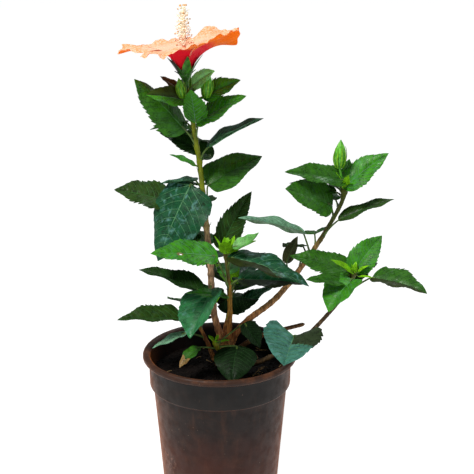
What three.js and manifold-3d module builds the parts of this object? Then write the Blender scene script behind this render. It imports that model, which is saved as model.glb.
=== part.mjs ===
// A young hibiscus shrub in its round plastic nursery pot, with one open bloom.
//
// Millimetres, +Z up. The origin is the centre of the pot's flat underside. +X is to the right and
// +Y to the back of the plant, and compass angles turn from +X (0) through +Y (90) to -X (180).
//
// The shrub has four stems and a cut stub that rise from one crown, and three short shoots round its
// foot. Every stem is bare low down and then runs through masses of foliage. A mass is one closed
// body: its own length of stem with the leaf stalks, blades and buds fused on. Where two pieces of a
// stem meet, they stay a hair apart, so each is a solid of its own.

import * as THREE from "three";
import { mergeVertices } from "three/addons/utils/BufferGeometryUtils.js";
import Module from "manifold-3d";

const wasm = await Module();
wasm.setup();

// ---------------------------------------------------------------------------------- sizes

const GAP = 0.3; // clearance between pieces that meet
const FUSE_DETAIL = 0.4; // edges shorter than this are dropped when solids are fused

const POT = {
  height: 190,
  rimRadius: 100,
  rimRoll: 8, // height of the rolled lip
  collarRadius: 92,
  collarBottom: 147, // height of the step under the collar
  bodyRadius: 87, // just under that step
  baseRadius: 76,
  wall: 2.2,
  floor: 3,
  drainHoles: 6,
  drainRadius: 6,
  drainCircle: 48,
  facets: 30,
};

const SOIL = { top: 163, edgeDrop: 3, moundRadius: 34 };

const CROWN = { top: 199, footRadius: 15, neckRadius: 7, lobes: 5, lobeDepth: 0.16 };

const LEAF = {
  thickness: 1.7, // at the midrib; a blade thins to its margin
  stalkRadius: 1.3,
  steps: 5, // lengths of blade between its base, its notches and its tip
  fillSteps: 4, // the same on leaves that the rule adds
  youngLength: 36, // a shorter blade is a young one
  youngSteps: 2,
  tooth: 0.1, // how far a notch cuts into the half width
  fold: 8, // degrees that each half rises from the midrib
  droop: 14, // degrees that the blade bends down from its base to its tip
  lobe: 0.05, // how far the margin reaches back past the stalk's end, as a share of the length
};

const MARKS = {
  spacing: 5, // between the marks along a stem
  stemReach: 2, // how far round a stem its marks keep blades away
  bladeReach: 8, // the same round a blade's marks
};

const COLOURS = {
  pot: "#3b2a20",
  soil: "#241c16",
  bark: "#8a6c4a",
  mature: "#1d5a34",
  fresh: "#3f7a22",
  bloom: "#f07a3c",
};

// ---------------------------------------------------------------------------------- helpers

const UP = new THREE.Vector3(0, 0, 1);
const GOLDEN_TURN = 137.5; // degrees from each young leaf or anther to the next

// A repeatable row of numbers from 0 to 1, so a mass grows the same way each time.
function seeded(seed) {
  let state = seed >>> 0;
  return () => {
    state = (Math.imul(state, 1664525) + 1013904223) >>> 0;
    return state / 4294967296;
  };
}

const between = (random, [low, high]) => low + (high - low) * random();

const radians = THREE.MathUtils.degToRad;

// The direction with a compass angle and a rise above the level, both in degrees.
function heading(compass, rise) {
  const level = Math.cos(radians(rise));
  return new THREE.Vector3(
    level * Math.cos(radians(compass)),
    level * Math.sin(radians(compass)),
    Math.sin(radians(rise)),
  );
}

function toSolid(geometry) {
  const bare = geometry.clone();
  bare.deleteAttribute("normal");
  bare.deleteAttribute("uv");
  const welded = mergeVertices(bare);
  return new wasm.Manifold(
    new wasm.Mesh({
      numProp: 3,
      vertProperties: new Float32Array(welded.attributes.position.array),
      triVerts: new Uint32Array(welded.index.array),
    }),
  );
}

function toGeometry(solid) {
  const mesh = solid.getMesh();
  const geometry = new THREE.BufferGeometry();
  geometry.setAttribute("position", new THREE.BufferAttribute(mesh.vertProperties, 3));
  geometry.setIndex(new THREE.BufferAttribute(mesh.triVerts, 1));
  geometry.computeVertexNormals();
  return geometry;
}

// One closed body from many that overlap.
function fuse(geometries) {
  let whole = toSolid(geometries[0]);
  for (const geometry of geometries.slice(1)) {
    whole = whole.add(toSolid(geometry));
  }
  const bodies = whole.simplify(FUSE_DETAIL).decompose();
  bodies.sort((one, other) => other.volume() - one.volume());
  return toGeometry(bodies[0]);
}

// Moves each vertex of a geometry to the place that a function gives for it.
function bend(geometry, place) {
  const position = geometry.attributes.position;
  const vertex = new THREE.Vector3();
  for (let i = 0; i < position.count; i += 1) {
    vertex.fromBufferAttribute(position, i);
    const moved = place(vertex.x, vertex.y, vertex.z);
    position.setXYZ(i, moved.x, moved.y, moved.z);
  }
  return geometry;
}

// A closed round limb along a curve, between two shares of its length.
function tube(curve, from, to, radiusAt, sides, steps) {
  const rod = new THREE.CylinderGeometry(1, 1, 1, sides, steps);
  return bend(rod, (x, y, z) => {
    const share = from + (to - from) * (y + 0.5);
    const along = curve.getTangentAt(share);
    const side = new THREE.Vector3().crossVectors(along, UP);
    if (side.lengthSq() < 1e-6) side.set(1, 0, 0);
    side.normalize();
    const out = new THREE.Vector3().crossVectors(side, along);
    const radius = radiusAt(share);
    return curve
      .getPointAt(share)
      .addScaledVector(side, x * radius)
      .addScaledVector(out, z * radius);
  });
}

// ---------------------------------------------------------------------------------- stems

// Each stem is a curve through a few places on its limb: [right, back, up].
const STEMS = {
  tall: {
    path: [
      [2, 0, 170], [2, 0, 200], [-8, 0, 242], [-12, 4, 304],
      [-17, 6, 360], [-24, 4, 433], [-31, 1, 483], [-38, -2, 528],
    ],
    foot: 4.6,
    tip: 2.4,
    sides: 8,
  },
  middle: {
    path: [
      [8, -1, 170], [11, -2, 200], [13, -6, 240], [12, -9, 281],
      [9, -10, 312], [8, -10, 326],
    ],
    foot: 3.8,
    tip: 2,
    sides: 7,
  },
  right: {
    path: [
      [10, 3, 174], [19, 4, 208], [36, 6, 228], [71, 14, 254],
      [107, 22, 298], [139, 20, 351], [155, 12, 389], [156, 9, 408],
    ],
    foot: 4.6,
    tip: 2.2,
    sides: 8,
  },
  lowRight: {
    path: [
      [8, -5, 172], [39, -12, 188], [70, -22, 198], [101, -32, 213],
      [128, -40, 246], [154, -42, 282], [167, -39, 313],
    ],
    foot: 3.6,
    tip: 2,
    sides: 7,
  },
  stub: {
    path: [
      [8, 6, 174], [30, 9, 192], [55, 13, 204], [111, 21, 217],
    ],
    foot: 3.2,
    tip: 2.6,
    sides: 7,
  },
  front: {
    path: [
      [2, -8, 172], [2, -17, 188], [-4, -24, 204], [-8, -27, 214],
    ],
    foot: 2.6,
    tip: 1.5,
    sides: 6,
  },
  left: {
    path: [
      [-7, 2, 172], [-17, 5, 198], [-28, 7, 221], [-41, 9, 240],
    ],
    foot: 2.8,
    tip: 1.6,
    sides: 6,
  },
  back: {
    path: [
      [2, 9, 172], [4, 21, 198], [12, 40, 232], [16, 52, 268],
    ],
    foot: 3.2,
    tip: 1.7,
    sides: 6,
  },
};

for (const stem of Object.values(STEMS)) {
  const places = stem.path.map((place) => new THREE.Vector3(...place));
  stem.curve = new THREE.CatmullRomCurve3(places, false, "centripetal");
  stem.curve.arcLengthDivisions = 400;
  stem.length = stem.curve.getLength();
}

// The share of a stem's length at which it is a given height up.
function shareAt(stem, up) {
  let low = 0;
  let high = 1;
  for (let i = 0; i < 40; i += 1) {
    const middle = (low + high) / 2;
    if (stem.curve.getPointAt(middle).z < up) low = middle;
    else high = middle;
  }
  return (low + high) / 2;
}

const radiusOf = (stem, share) => stem.foot + (stem.tip - stem.foot) * share;

// The piece of a stem between two heights. It starts a gap above the piece under it.
function stemPiece(stem, fromUp, toUp, gap = GAP) {
  const from = shareAt(stem, fromUp) + gap / stem.length;
  const to = toUp === null ? 1 : shareAt(stem, toUp);
  const steps = Math.max(2, Math.round(((to - from) * stem.length) / 16));
  return tube(stem.curve, from, to, (share) => radiusOf(stem, share), stem.sides, steps);
}

// The height at which each stem leaves the crown and is a piece of its own.
const CROWN_ENDS = {
  tall: 222,
  middle: 222,
  right: 214,
  lowRight: 184,
  stub: 190,
  front: 188,
  left: 196,
  back: 198,
};

// ---------------------------------------------------------------------------------- leaves

// The half width of a blade, as a share of its widest, from its base (0) to its tip (1).
function outline(share) {
  const widest = 0.32;
  const body = share ** 0.45 * (1 - share) ** 0.95;
  const most = widest ** 0.45 * (1 - widest) ** 0.95;
  return body / most;
}

// The middle line of a blade: an arc that bends down in the upright plane of its compass angle.
function midrib(leaf, base, share) {
  const droop = radians(leaf.droop);
  const start = radians(leaf.pitch) + droop / 2;
  const angle = start - droop * share;
  const bendsNow = Math.abs(droop) > 1e-3;
  const level = bendsNow ? (Math.sin(start) - Math.sin(angle)) / droop : share * Math.cos(start);
  const rise = bendsNow ? (Math.cos(angle) - Math.cos(start)) / droop : share * Math.sin(start);
  const ahead = heading(leaf.compass, 0);
  const place = base.clone().addScaledVector(ahead, leaf.length * level);
  place.z += leaf.length * rise;
  const along = ahead.clone().multiplyScalar(Math.cos(angle)).addScaledVector(UP, Math.sin(angle));
  const right = new THREE.Vector3().crossVectors(ahead, UP);
  const above = new THREE.Vector3().crossVectors(right, along);
  const roll = radians(leaf.roll);
  const side = right.clone().multiplyScalar(Math.cos(roll)).addScaledVector(above, Math.sin(roll));
  const normal = above.multiplyScalar(Math.cos(roll)).addScaledVector(right, -Math.sin(roll));
  return { place, along, side, normal };
}

// A place on a blade: across runs from -1 to 1, and lift is its height over the underside's middle.
function onBlade(leaf, base, share, across, lift) {
  const line = midrib(leaf, base, share - leaf.lobe * Math.abs(across) * (1 - share) ** 2);
  const fold = radians(leaf.fold);
  const half = (leaf.width / 2) * Math.max(outline(share), 0.06);
  return line.place
    .addScaledVector(line.side, across * half * Math.cos(fold))
    .addScaledVector(line.normal, Math.abs(across) * half * Math.sin(fold) + lift);
}

// A blade is a four-sided cone pressed flat: two margins, a ridge over the midrib and one under it.
// It has a notch between every two teeth.
function bladeSolid(leaf, base, steps) {
  const cone = new THREE.ConeGeometry(1, 1, 4, steps);
  const side = (value) => (Math.abs(value) < 1e-6 ? 0 : Math.sign(value));
  return bend(cone, (x, y, z) => {
    const share = y + 0.5;
    const step = Math.round(share * steps);
    const notch = step % 2 === 0 && step > 0 && step < steps ? 1 - LEAF.tooth : 1;
    return onBlade(leaf, base, share, side(x) * notch, (side(z) * LEAF.thickness) / 2);
  });
}

// A stalk from the stem's middle line to a little way under the blade.
function stalkSolid(joint, base, leaf, isYoung) {
  const radius = LEAF.stalkRadius * Math.min(1, leaf.length / 60 + 0.3);
  const under = onBlade(leaf, base, Math.min(0.12, 4 / leaf.length), 0, 0);
  const bow = joint.clone().lerp(base, 0.55);
  bow.z += 0.05 * (base.z - joint.z) + 1;
  const curve = new THREE.CatmullRomCurve3([joint, bow, base, under]);
  return tube(curve, 0, 1, (share) => radius * (1.25 - 0.5 * share), 3, isYoung ? 1 : 2);
}

// A leaf as it is described: where its stalk leaves the stem, the stalk, and the blade.
function leaf(up, stalk, blade, more = {}) {
  return { up, stalk, fold: LEAF.fold, droop: LEAF.droop, lobe: LEAF.lobe, roll: 0, ...blade, ...more };
}

const stalk = (compass, rise, length) => ({ compass, rise, length });

const blade = (compass, pitch, length, width) => ({ compass, pitch, length, width });

// ---------------------------------------------------------------------------------- space

// Every limb and blade leaves marks on its place, by which a later leaf sees that the place is taken.
const taken = [];

function markStem(name, stem) {
  const count = Math.ceil(stem.length / MARKS.spacing);
  for (let i = 0; i <= count; i += 1) {
    const place = stem.curve.getPointAt(i / count);
    taken.push({ owner: name, place, reach: stem.foot + MARKS.stemReach });
  }
}

function bladeMarks(item, base) {
  const marks = [];
  for (const share of [0.12, 0.25, 0.38, 0.51, 0.64, 0.77, 0.9, 1]) {
    for (const across of [-1, -0.5, 0, 0.5, 1]) {
      marks.push(onBlade(item, base, share, across, 0));
    }
  }
  return marks;
}

// Where a leaf's blade begins, at the end of its stalk.
function baseOf(stem, item) {
  const joint = stem.curve.getPointAt(shareAt(stem, item.up));
  return joint.addScaledVector(heading(item.stalk.compass, item.stalk.rise), item.stalk.length);
}

function markLeaves(name, stem, items) {
  for (const item of items) {
    for (const place of bladeMarks(item, baseOf(stem, item))) {
      taken.push({ owner: name, place, reach: MARKS.bladeReach });
    }
  }
}

function isFree(marks, owners) {
  return marks.every((mark) => taken.every((other) => (
    owners.includes(other.owner) || mark.distanceTo(other.place) > other.reach
  )));
}

// ---------------------------------------------------------------------------------- foliage masses

// Each mass runs along its stem between two heights (to: null is the stem's tip). Its leaves are
// described one by one where they make the plant's outline. fill adds leaves by a seeded rule in the
// part of the compass that they leave bare, and rosette the young leaves round a growing tip.
const MASSES = {
  tall_stem_low_leaves: {
    stem: "tall",
    from: 258,
    to: 340,
    colour: COLOURS.mature,
    leaves: [
      leaf(264, stalk(200, 35, 18), blade(174, 15, 84, 44), { roll: 14 }),
      leaf(280, stalk(246, -14, 18), blade(228, -42, 68, 60), { fold: -6, roll: 12 }),
    ],
    fill: { seed: 11, count: 5, up: [290, 330], compass: [80, 165], length: [60, 82], pitch: [-16, 6] },
  },
  tall_stem_middle_leaves: {
    stem: "tall",
    from: 340,
    to: 420,
    colour: COLOURS.mature,
    leaves: [
      leaf(380, stalk(194, 66, 34), blade(218, -64, 112, 82), { fold: -6, droop: 24, roll: 34 }),
      leaf(368, stalk(166, 17, 55), blade(187, 12, 68, 46), { roll: 28 }),
      leaf(355, stalk(327, 66, 49), blade(10, 36, 78, 66), { roll: -44 }),
    ],
    fill: { seed: 23, count: 4, up: [362, 404], compass: [85, 150], length: [52, 74], pitch: [-18, 0] },
  },
  tall_stem_high_leaves: {
    stem: "tall",
    from: 420,
    to: 484,
    colour: COLOURS.fresh,
    leaves: [
      leaf(438, stalk(328, 53, 25), blade(355, 28, 75, 46), { roll: -4, fold: 14 }),
      leaf(427, stalk(229, 37, 13), blade(196, 25, 34, 16), { roll: 20 }),
      leaf(437, stalk(37, 18, 18), blade(171, 23, 70, 36), { roll: 30 }),
      leaf(455, stalk(200, 56, 29), blade(184, 46, 84, 56), { roll: 42, fold: -24 }),
      leaf(465, stalk(293, 65, 26), blade(348, 29, 67, 44), { roll: -34 }),
    ],
    fill: { seed: 37, count: 4, up: [446, 478], compass: [85, 150], length: [44, 60], pitch: [-16, 4] },
  },
  flower_head_leaves: {
    stem: "tall",
    from: 484,
    to: null,
    colour: COLOURS.fresh,
    leaves: [
      leaf(492, stalk(290, -10, 15), blade(254, 66, 44, 34), { fold: 12 }),
      leaf(508, stalk(344, 30, 21), blade(0, 24, 48, 34), { roll: -40 }),
      leaf(504, stalk(233, 41, 17), blade(200, 10, 46, 30), { roll: 18, fold: 26 }),
      leaf(516, stalk(140, 31, 19), blade(150, 27, 30, 14), { roll: 20 }),
      leaf(518, stalk(310, 66, 17), blade(342, 22, 36, 26), { droop: 84, fold: -18 }),
    ],
    buds: [
      { up: 515, stalk: stalk(234, 18, 12), compass: 205, rise: 78, length: 23, width: 11 },
      { up: 511, stalk: stalk(332, 20, 25), compass: 323, rise: 83, length: 29, width: 13 },
      { up: 513, stalk: stalk(95, 40, 20), compass: 95, rise: 70, length: 20, width: 10 },
    ],
    fill: { seed: 41, count: 3, up: [492, 514], compass: [60, 150], length: [28, 44], pitch: [5, 35] },
  },
  middle_stem_leaves: {
    stem: "middle",
    from: 256,
    to: null,
    colour: COLOURS.mature,
    leaves: [
      leaf(274, stalk(236, 60, 62), blade(200, 8, 82, 44), { roll: 32 }),
      leaf(303, stalk(290, 52, 25), blade(341, -15, 104, 54), { roll: -6, droop: 26 }),
      leaf(281, stalk(342, 31, 19), blade(356, -3, 82, 42), { roll: -18 }),
      leaf(318, stalk(315, 51, 22), blade(350, 33, 38, 26), { droop: 50, fold: 20, roll: -20 }),
      leaf(312, stalk(118, 50, 21), blade(23, 59, 80, 36), { roll: -55 }),
      leaf(262, stalk(238, 36, 12), blade(196, 10, 52, 24), { roll: 10 }),
      leaf(268, stalk(288, 39, 11), blade(333, -27, 48, 32), {}),
    ],
    fill: { seed: 53, count: 5, up: [266, 304], compass: [45, 130], length: [52, 76], pitch: [-16, 14] },
    rosette: { seed: 59, count: 7, up: 324, length: [18, 36], pitch: [28, 80], width: 0.48 },
  },
  right_limb_leaves: {
    stem: "right",
    from: 262,
    to: 345,
    colour: COLOURS.mature,
    leaves: [
      leaf(312, stalk(221, 65, 37), blade(196, 16, 88, 28), { roll: 18 }),
      leaf(274, stalk(244, 76, 32), blade(351, 69, 38, 22), {}),
      leaf(333, stalk(324, 48, 42), blade(356, 22, 71, 30), { roll: -14 }),
    ],
    fill: { seed: 61, count: 3, up: [284, 330], compass: [75, 130], length: [46, 62], pitch: [-22, -12] },
  },
  right_limb_top_leaves: {
    stem: "right",
    from: 345,
    to: null,
    colour: COLOURS.fresh,
    leaves: [
      leaf(362, stalk(242, 60, 23), blade(198, 22, 66, 56), { roll: 46 }),
      leaf(398, stalk(273, 52, 10), blade(4, 38, 67, 40), { roll: -40 }),
      leaf(400, stalk(257, 73, 14), blade(185, 9, 76, 36), { roll: 38, fold: 14 }),
      leaf(390, stalk(139, 22, 15), blade(172, 9, 58, 24), { roll: 20 }),
      leaf(402, stalk(73, 56, 9), blade(65, 63, 30, 26), { roll: -60 }),
    ],
    buds: [{ up: 402, stalk: stalk(200, 74, 29), compass: 60, rise: 86, length: 34, width: 15 }],
    fill: { seed: 67, count: 4, up: [362, 396], compass: [45, 140], length: [42, 60], pitch: [-14, 16] },
    rosette: { seed: 71, count: 6, up: 402, length: [14, 28], pitch: [30, 75], width: 0.4 },
  },
  low_right_leaves: {
    stem: "lowRight",
    from: 207,
    to: 262,
    colour: COLOURS.mature,
    leaves: [
      leaf(217, stalk(228, 60, 28), blade(262, -16, 76, 88), { fold: -22, droop: 36, lobe: 0.24 }),
    ],
  },
  low_right_top_leaves: {
    stem: "lowRight",
    from: 262,
    to: null,
    colour: COLOURS.fresh,
    leaves: [
      leaf(297, stalk(105, 52, 14), blade(170, 12, 74, 42), { roll: 30 }),
      leaf(295, stalk(231, 21, 12), blade(198, 9, 52, 26), { roll: 20 }),
      leaf(309, stalk(70, 10, 5), blade(22, 48, 54, 38), { roll: -45 }),
      leaf(307, stalk(249, 29, 6), blade(207, 33, 38, 14), { roll: 30 }),
      leaf(297, stalk(262, 46, 14), blade(231, -32, 60, 62), { fold: -8, roll: 8 }),
      leaf(276, stalk(350, 47, 34), blade(350, -6, 74, 46), { roll: -28 }),
      leaf(307, stalk(318, -16, 8), blade(320, 8, 20, 9), {}),
    ],
    fill: { seed: 79, count: 4, up: [276, 304], compass: [45, 130], length: [46, 62], pitch: [-12, 14] },
    rosette: { seed: 83, count: 5, up: 308, length: [12, 22], pitch: [35, 80], width: 0.36 },
  },
  front_shoot_leaves: {
    stem: "front",
    from: 188,
    to: null,
    colour: COLOURS.mature,
    leaves: [
      leaf(203, stalk(352, 5, 26), blade(261, -34, 54, 56), { fold: -8, droop: 30 }),
      leaf(200, stalk(190, 8, 26), blade(222, -32, 36, 22), { droop: 30 }),
      leaf(206, stalk(22, 30, 46), blade(326, -50, 36, 40), {}),
    ],
    rosette: { seed: 89, count: 6, up: 211, length: [16, 28], pitch: [10, 60], width: 0.34 },
  },
  left_shoot_leaves: {
    stem: "left",
    from: 196,
    to: null,
    colour: COLOURS.mature,
    leaves: [
      leaf(238, stalk(184, 5, 7), blade(185, 0, 84, 38), { roll: 18 }),
      leaf(204, stalk(195, 18, 28), blade(196, -20, 46, 17), { roll: 10 }),
    ],
    fill: { seed: 97, count: 4, up: [212, 236], compass: [85, 128], length: [46, 66], pitch: [-20, -8] },
  },
  back_shoot_leaves: {
    stem: "back",
    from: 198,
    to: null,
    colour: COLOURS.mature,
    leaves: [leaf(240, stalk(60, 40, 20), blade(70, 0, 74, 44), {})],
    fill: { seed: 101, count: 7, up: [214, 262], compass: [25, 155], length: [48, 78], pitch: [-14, 24] },
    rosette: { seed: 103, count: 5, up: 264, length: [20, 36], pitch: [30, 70], width: 0.4 },
  },
};

// Leaves that the rule adds: a spiral of turns within the bare part of the compass.
function filled(stem, fill, owners) {
  const random = seeded(fill.seed);
  const added = [];
  for (let i = 0; i < fill.count; i += 1) {
    const turn = (i * 0.618034 + random() * 0.2) % 1;
    const compass = fill.compass[0] + (fill.compass[1] - fill.compass[0]) * turn;
    const up = fill.up[0] + ((fill.up[1] - fill.up[0]) * (i + 0.5)) / fill.count;
    const length = between(random, fill.length);
    const pitch = between(random, fill.pitch);
    const roll = between(random, [-16, 16]);
    const item = leaf(
      up,
      stalk(compass, 38 + 12 * random(), length * 0.34),
      blade(compass + between(random, [-14, 14]), pitch, length, length * 0.56),
      { roll },
    );
    const marks = bladeMarks(item, baseOf(stem, item));
    if (isFree(marks, owners)) added.push(item);
  }
  return added;
}

// Young leaves in a tightening spiral round a growing tip.
function rosette(stem, young, owners) {
  const random = seeded(young.seed);
  const added = [];
  for (let i = 0; i < young.count; i += 1) {
    const age = 1 - i / (young.count - 1);
    const length = young.length[0] + (young.length[1] - young.length[0]) * age;
    const pitch = young.pitch[1] + (young.pitch[0] - young.pitch[1]) * age;
    const compass = GOLDEN_TURN * i + between(random, [-12, 12]);
    const item = leaf(
      young.up - 6 * age,
      stalk(compass, 45, 3 + 6 * age),
      blade(compass, pitch, length, length * young.width),
      { fold: 24, droop: 20 },
    );
    const marks = bladeMarks(item, baseOf(stem, item));
    if (isFree(marks, owners)) added.push(item);
  }
  return added;
}

// A closed bud: a slim drop with the tips of its bracts standing off it.
function budSolids(stem, bud) {
  const joint = stem.curve.getPointAt(shareAt(stem, bud.up));
  const base = baseOf(stem, bud);
  const axis = heading(bud.compass, bud.rise);
  const tip = base.clone().addScaledVector(axis, bud.length);
  const bow = joint.clone().lerp(base, 0.6);
  const budStalk = new THREE.CatmullRomCurve3([joint, bow, base, base.clone().lerp(tip, 0.3)]);
  const heel = base.clone().addScaledVector(axis, -2);
  const body = new THREE.CatmullRomCurve3([heel, base.clone().lerp(tip, 0.5), tip]);
  const swell = (share) => (bud.width / 2) * Math.max(0.08, Math.sin(Math.PI * (0.12 + 0.88 * share)) ** 0.8);
  const solids = [
    tube(budStalk, 0, 1, () => 1.4, 3, 2),
    tube(body, 0, 1, swell, 5, 4),
  ];
  for (let i = 0; i < 4; i += 1) {
    const compass = i * 90 + 20;
    const bract = leaf(0, null, blade(compass, 62, bud.length * 0.62, 3.4), { droop: -26, fold: 0 });
    solids.push(bladeSolid(bract, base.clone().addScaledVector(axis, 0.4), LEAF.youngSteps));
  }
  return solids;
}

// ---------------------------------------------------------------------------------- bloom

const BLOOM = {
  stalk: [[-38, -2, 528], [-38.5, -2, 533], [-39, -2, 539]],
  stalkRadius: 2.1,
  lean: { compass: 150, angle: 5 }, // the flower faces up, and leans a little to the left and back
  petal: { length: 77, width: 76, thickness: 1.3, steps: 4, across: 4, funnel: 40 },
  petals: [
    { compass: 186, lift: 2, roll: 4 },
    { compass: 256, lift: 0, roll: -12 },
    { compass: 330, lift: 10, roll: 14 },
    { compass: 42, lift: 18, roll: -8 },
    { compass: 114, lift: 4, roll: 6 },
  ],
  column: { length: 88, radius: 2.6, anthers: 18, filament: 8, from: 0.52 },
  sepals: { count: 5, length: 27, width: 11 },
  bracts: { count: 5, length: 15, width: 3.4 },
};

const PETAL_START = 0.1; // the share of a petal's length that is hidden in the calyx

// The middle line of a petal, in the flower's own frame: a funnel that opens into a flat spread.
function petalLine(length, lift, share) {
  const out = length * (0.05 + 0.95 * share ** 1.12);
  const rise = BLOOM.petal.funnel * (1 - Math.exp(-share * 5.2)) - 6 * share ** 3;
  const tilt = radians(lift) * share;
  return {
    out: out * Math.cos(tilt) - rise * Math.sin(tilt) * 0.2,
    rise: rise + out * Math.sin(tilt),
  };
}

function petalSolid(petal, toWorld) {
  const { length, width, thickness, steps, across } = BLOOM.petal;
  const slab = new THREE.BoxGeometry(2, 1, 1, across, steps, 1);
  return bend(slab, (x, y, z) => {
    const share = PETAL_START + (1 - PETAL_START) * (y + 0.5);
    const line = petalLine(length, petal.lift, share * (1 - 0.16 * x * x));
    const half = (width / 2) * (0.13 + 0.87 * Math.sin((Math.PI / 2) * Math.min(1, share / 0.78) ** 1.25));
    const ruffle = 2.6 * share ** 2 * Math.sin(x * 5 + share * 7 + petal.compass);
    const angle = Math.min(1, 24 / Math.max(line.out, 1));
    const spread = radians(petal.compass);
    const outward = new THREE.Vector3(Math.cos(spread), Math.sin(spread), 0);
    const aside = new THREE.Vector3(Math.sin(spread), -Math.cos(spread), 0);
    const wrap = half * x * (1 - 0.35 * angle);
    const tilt = Math.tan(radians(petal.roll));
    return toWorld(
      outward
        .multiplyScalar(line.out - (wrap * wrap) / (2 * (line.out + 30)))
        .addScaledVector(aside, wrap)
        .addScaledVector(UP, line.rise + ruffle + z * thickness + wrap * share ** 2 * tilt),
    );
  });
}

function bloomSolid() {
  const foot = new THREE.Vector3(...BLOOM.stalk[2]);
  const faces = heading(BLOOM.lean.compass, 90 - BLOOM.lean.angle);
  const lean = new THREE.Quaternion().setFromUnitVectors(UP, faces);
  const toWorld = (place) => place.applyQuaternion(lean).add(foot);
  const stalkCurve = new THREE.CatmullRomCurve3(BLOOM.stalk.map((place) => new THREE.Vector3(...place)));
  const gapShare = GAP / stalkCurve.getLength();
  const solids = [tube(stalkCurve, gapShare, 1, () => BLOOM.stalkRadius, 7, 3)];

  const cup = new THREE.LatheGeometry(
    [[0, -3], [3, -2], [7, 4], [8.5, 11], [0, 14]].map(([r, h]) => new THREE.Vector2(r, h)),
    8,
  );
  cup.rotateX(Math.PI / 2);
  solids.push(bend(cup, (x, y, z) => toWorld(new THREE.Vector3(x, y, z))));

  for (let i = 0; i < BLOOM.sepals.count; i += 1) {
    const sepal = leaf(0, null, blade(i * 72 + 30, 62, BLOOM.sepals.length, BLOOM.sepals.width), {
      droop: 26,
      fold: 14,
    });
    const flat = bladeSolid(sepal, heading(i * 72 + 30, 0).multiplyScalar(4), 3);
    solids.push(bend(flat, (x, y, z) => toWorld(new THREE.Vector3(x, y, z))));
  }
  for (let i = 0; i < BLOOM.bracts.count; i += 1) {
    const compass = (i * 360) / BLOOM.bracts.count;
    const bract = leaf(0, null, blade(compass, 42, BLOOM.bracts.length, BLOOM.bracts.width), { fold: 0 });
    const flat = bladeSolid(bract, heading(compass, 0).multiplyScalar(1.5), 2);
    solids.push(bend(flat, (x, y, z) => toWorld(new THREE.Vector3(x, y, z))));
  }
  for (const petal of BLOOM.petals) solids.push(petalSolid(petal, toWorld));

  const { length, radius, anthers, filament, from } = BLOOM.column;
  const column = new THREE.CatmullRomCurve3([[0, 0, 4], [1, 0, length / 2], [4, -3, length]].map(
    (place) => new THREE.Vector3(...place),
  ));
  const rod = tube(column, 0, 1, (share) => radius * (1.1 - 0.5 * share), 7, 6);
  solids.push(bend(rod, (x, y, z) => toWorld(new THREE.Vector3(x, y, z))));
  const random = seeded(7);
  for (let i = 0; i < anthers; i += 1) {
    const share = from + (0.97 - from) * (i / (anthers - 1));
    const root = column.getPointAt(share);
    const outward = heading(i * GOLDEN_TURN, 10 + 30 * random());
    const tip = root.clone().addScaledVector(outward, filament * (0.8 + 0.4 * random()));
    const hair = new THREE.LineCurve3(root, tip);
    const spike = tube(hair, 0, 1, (along) => 0.6 + 0.9 * along, 3, 1);
    solids.push(bend(spike, (x, y, z) => toWorld(new THREE.Vector3(x, y, z))));
  }
  return fuse(solids);
}

// ---------------------------------------------------------------------------------- pot and soil

function potWallRadius(up) {
  const share = up / POT.collarBottom;
  return POT.baseRadius + (POT.bodyRadius - POT.baseRadius) * share;
}

function potSolid() {
  const { height, rimRadius, rimRoll, collarRadius, collarBottom, bodyRadius, baseRadius, wall, floor } = POT;
  const rollFoot = height - rimRoll;
  const profile = [
    [0, 0],
    [baseRadius - 3, 0],
    [baseRadius, 2.5],
    [bodyRadius, collarBottom - 2],
    [collarRadius - 0.5, collarBottom],
    [collarRadius, rollFoot],
    [rimRadius - 1, rollFoot],
    [rimRadius, rollFoot + 2.5],
    [rimRadius - 0.6, height - 1.8],
    [rimRadius - 3, height],
    [collarRadius + 1, height - 0.8],
    [collarRadius - wall, height - 4],
    [collarRadius - wall - 0.5, collarBottom + 1],
    [bodyRadius - wall, collarBottom - 3],
    [potWallRadius(floor) - wall, floor],
    [0, floor],
  ];
  const shell = new THREE.LatheGeometry(profile.map(([r, h]) => new THREE.Vector2(r, h)), POT.facets);
  shell.rotateX(Math.PI / 2);
  let pot = toSolid(shell);
  if (pot.volume() < 0) throw new Error("the pot's profile runs the wrong way");
  for (let i = 0; i < POT.drainHoles; i += 1) {
    const drill = new THREE.CylinderGeometry(POT.drainRadius, POT.drainRadius, floor * 4, 8);
    drill.rotateX(Math.PI / 2);
    const turn = (i * 2 * Math.PI) / POT.drainHoles;
    drill.translate(POT.drainCircle * Math.cos(turn), POT.drainCircle * Math.sin(turn), 0);
    pot = pot.subtract(toSolid(drill));
  }
  return toGeometry(pot);
}

function soilSolid() {
  const { floor, wall, collarBottom, collarRadius } = POT;
  const clear = wall + GAP;
  const profile = [
    [0, floor + GAP],
    [potWallRadius(floor) - clear - 0.3, floor + GAP],
    [potWallRadius(collarBottom - 3) - clear, collarBottom - 3],
    [collarRadius - clear - 0.9, collarBottom + 1.5],
    [collarRadius - clear - 0.9, SOIL.top - SOIL.edgeDrop],
    [SOIL.moundRadius, SOIL.top],
    [0, SOIL.top],
  ];
  const fill = new THREE.LatheGeometry(profile.map(([r, h]) => new THREE.Vector2(r, h)), POT.facets);
  fill.rotateX(Math.PI / 2);
  return fill;
}

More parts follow.
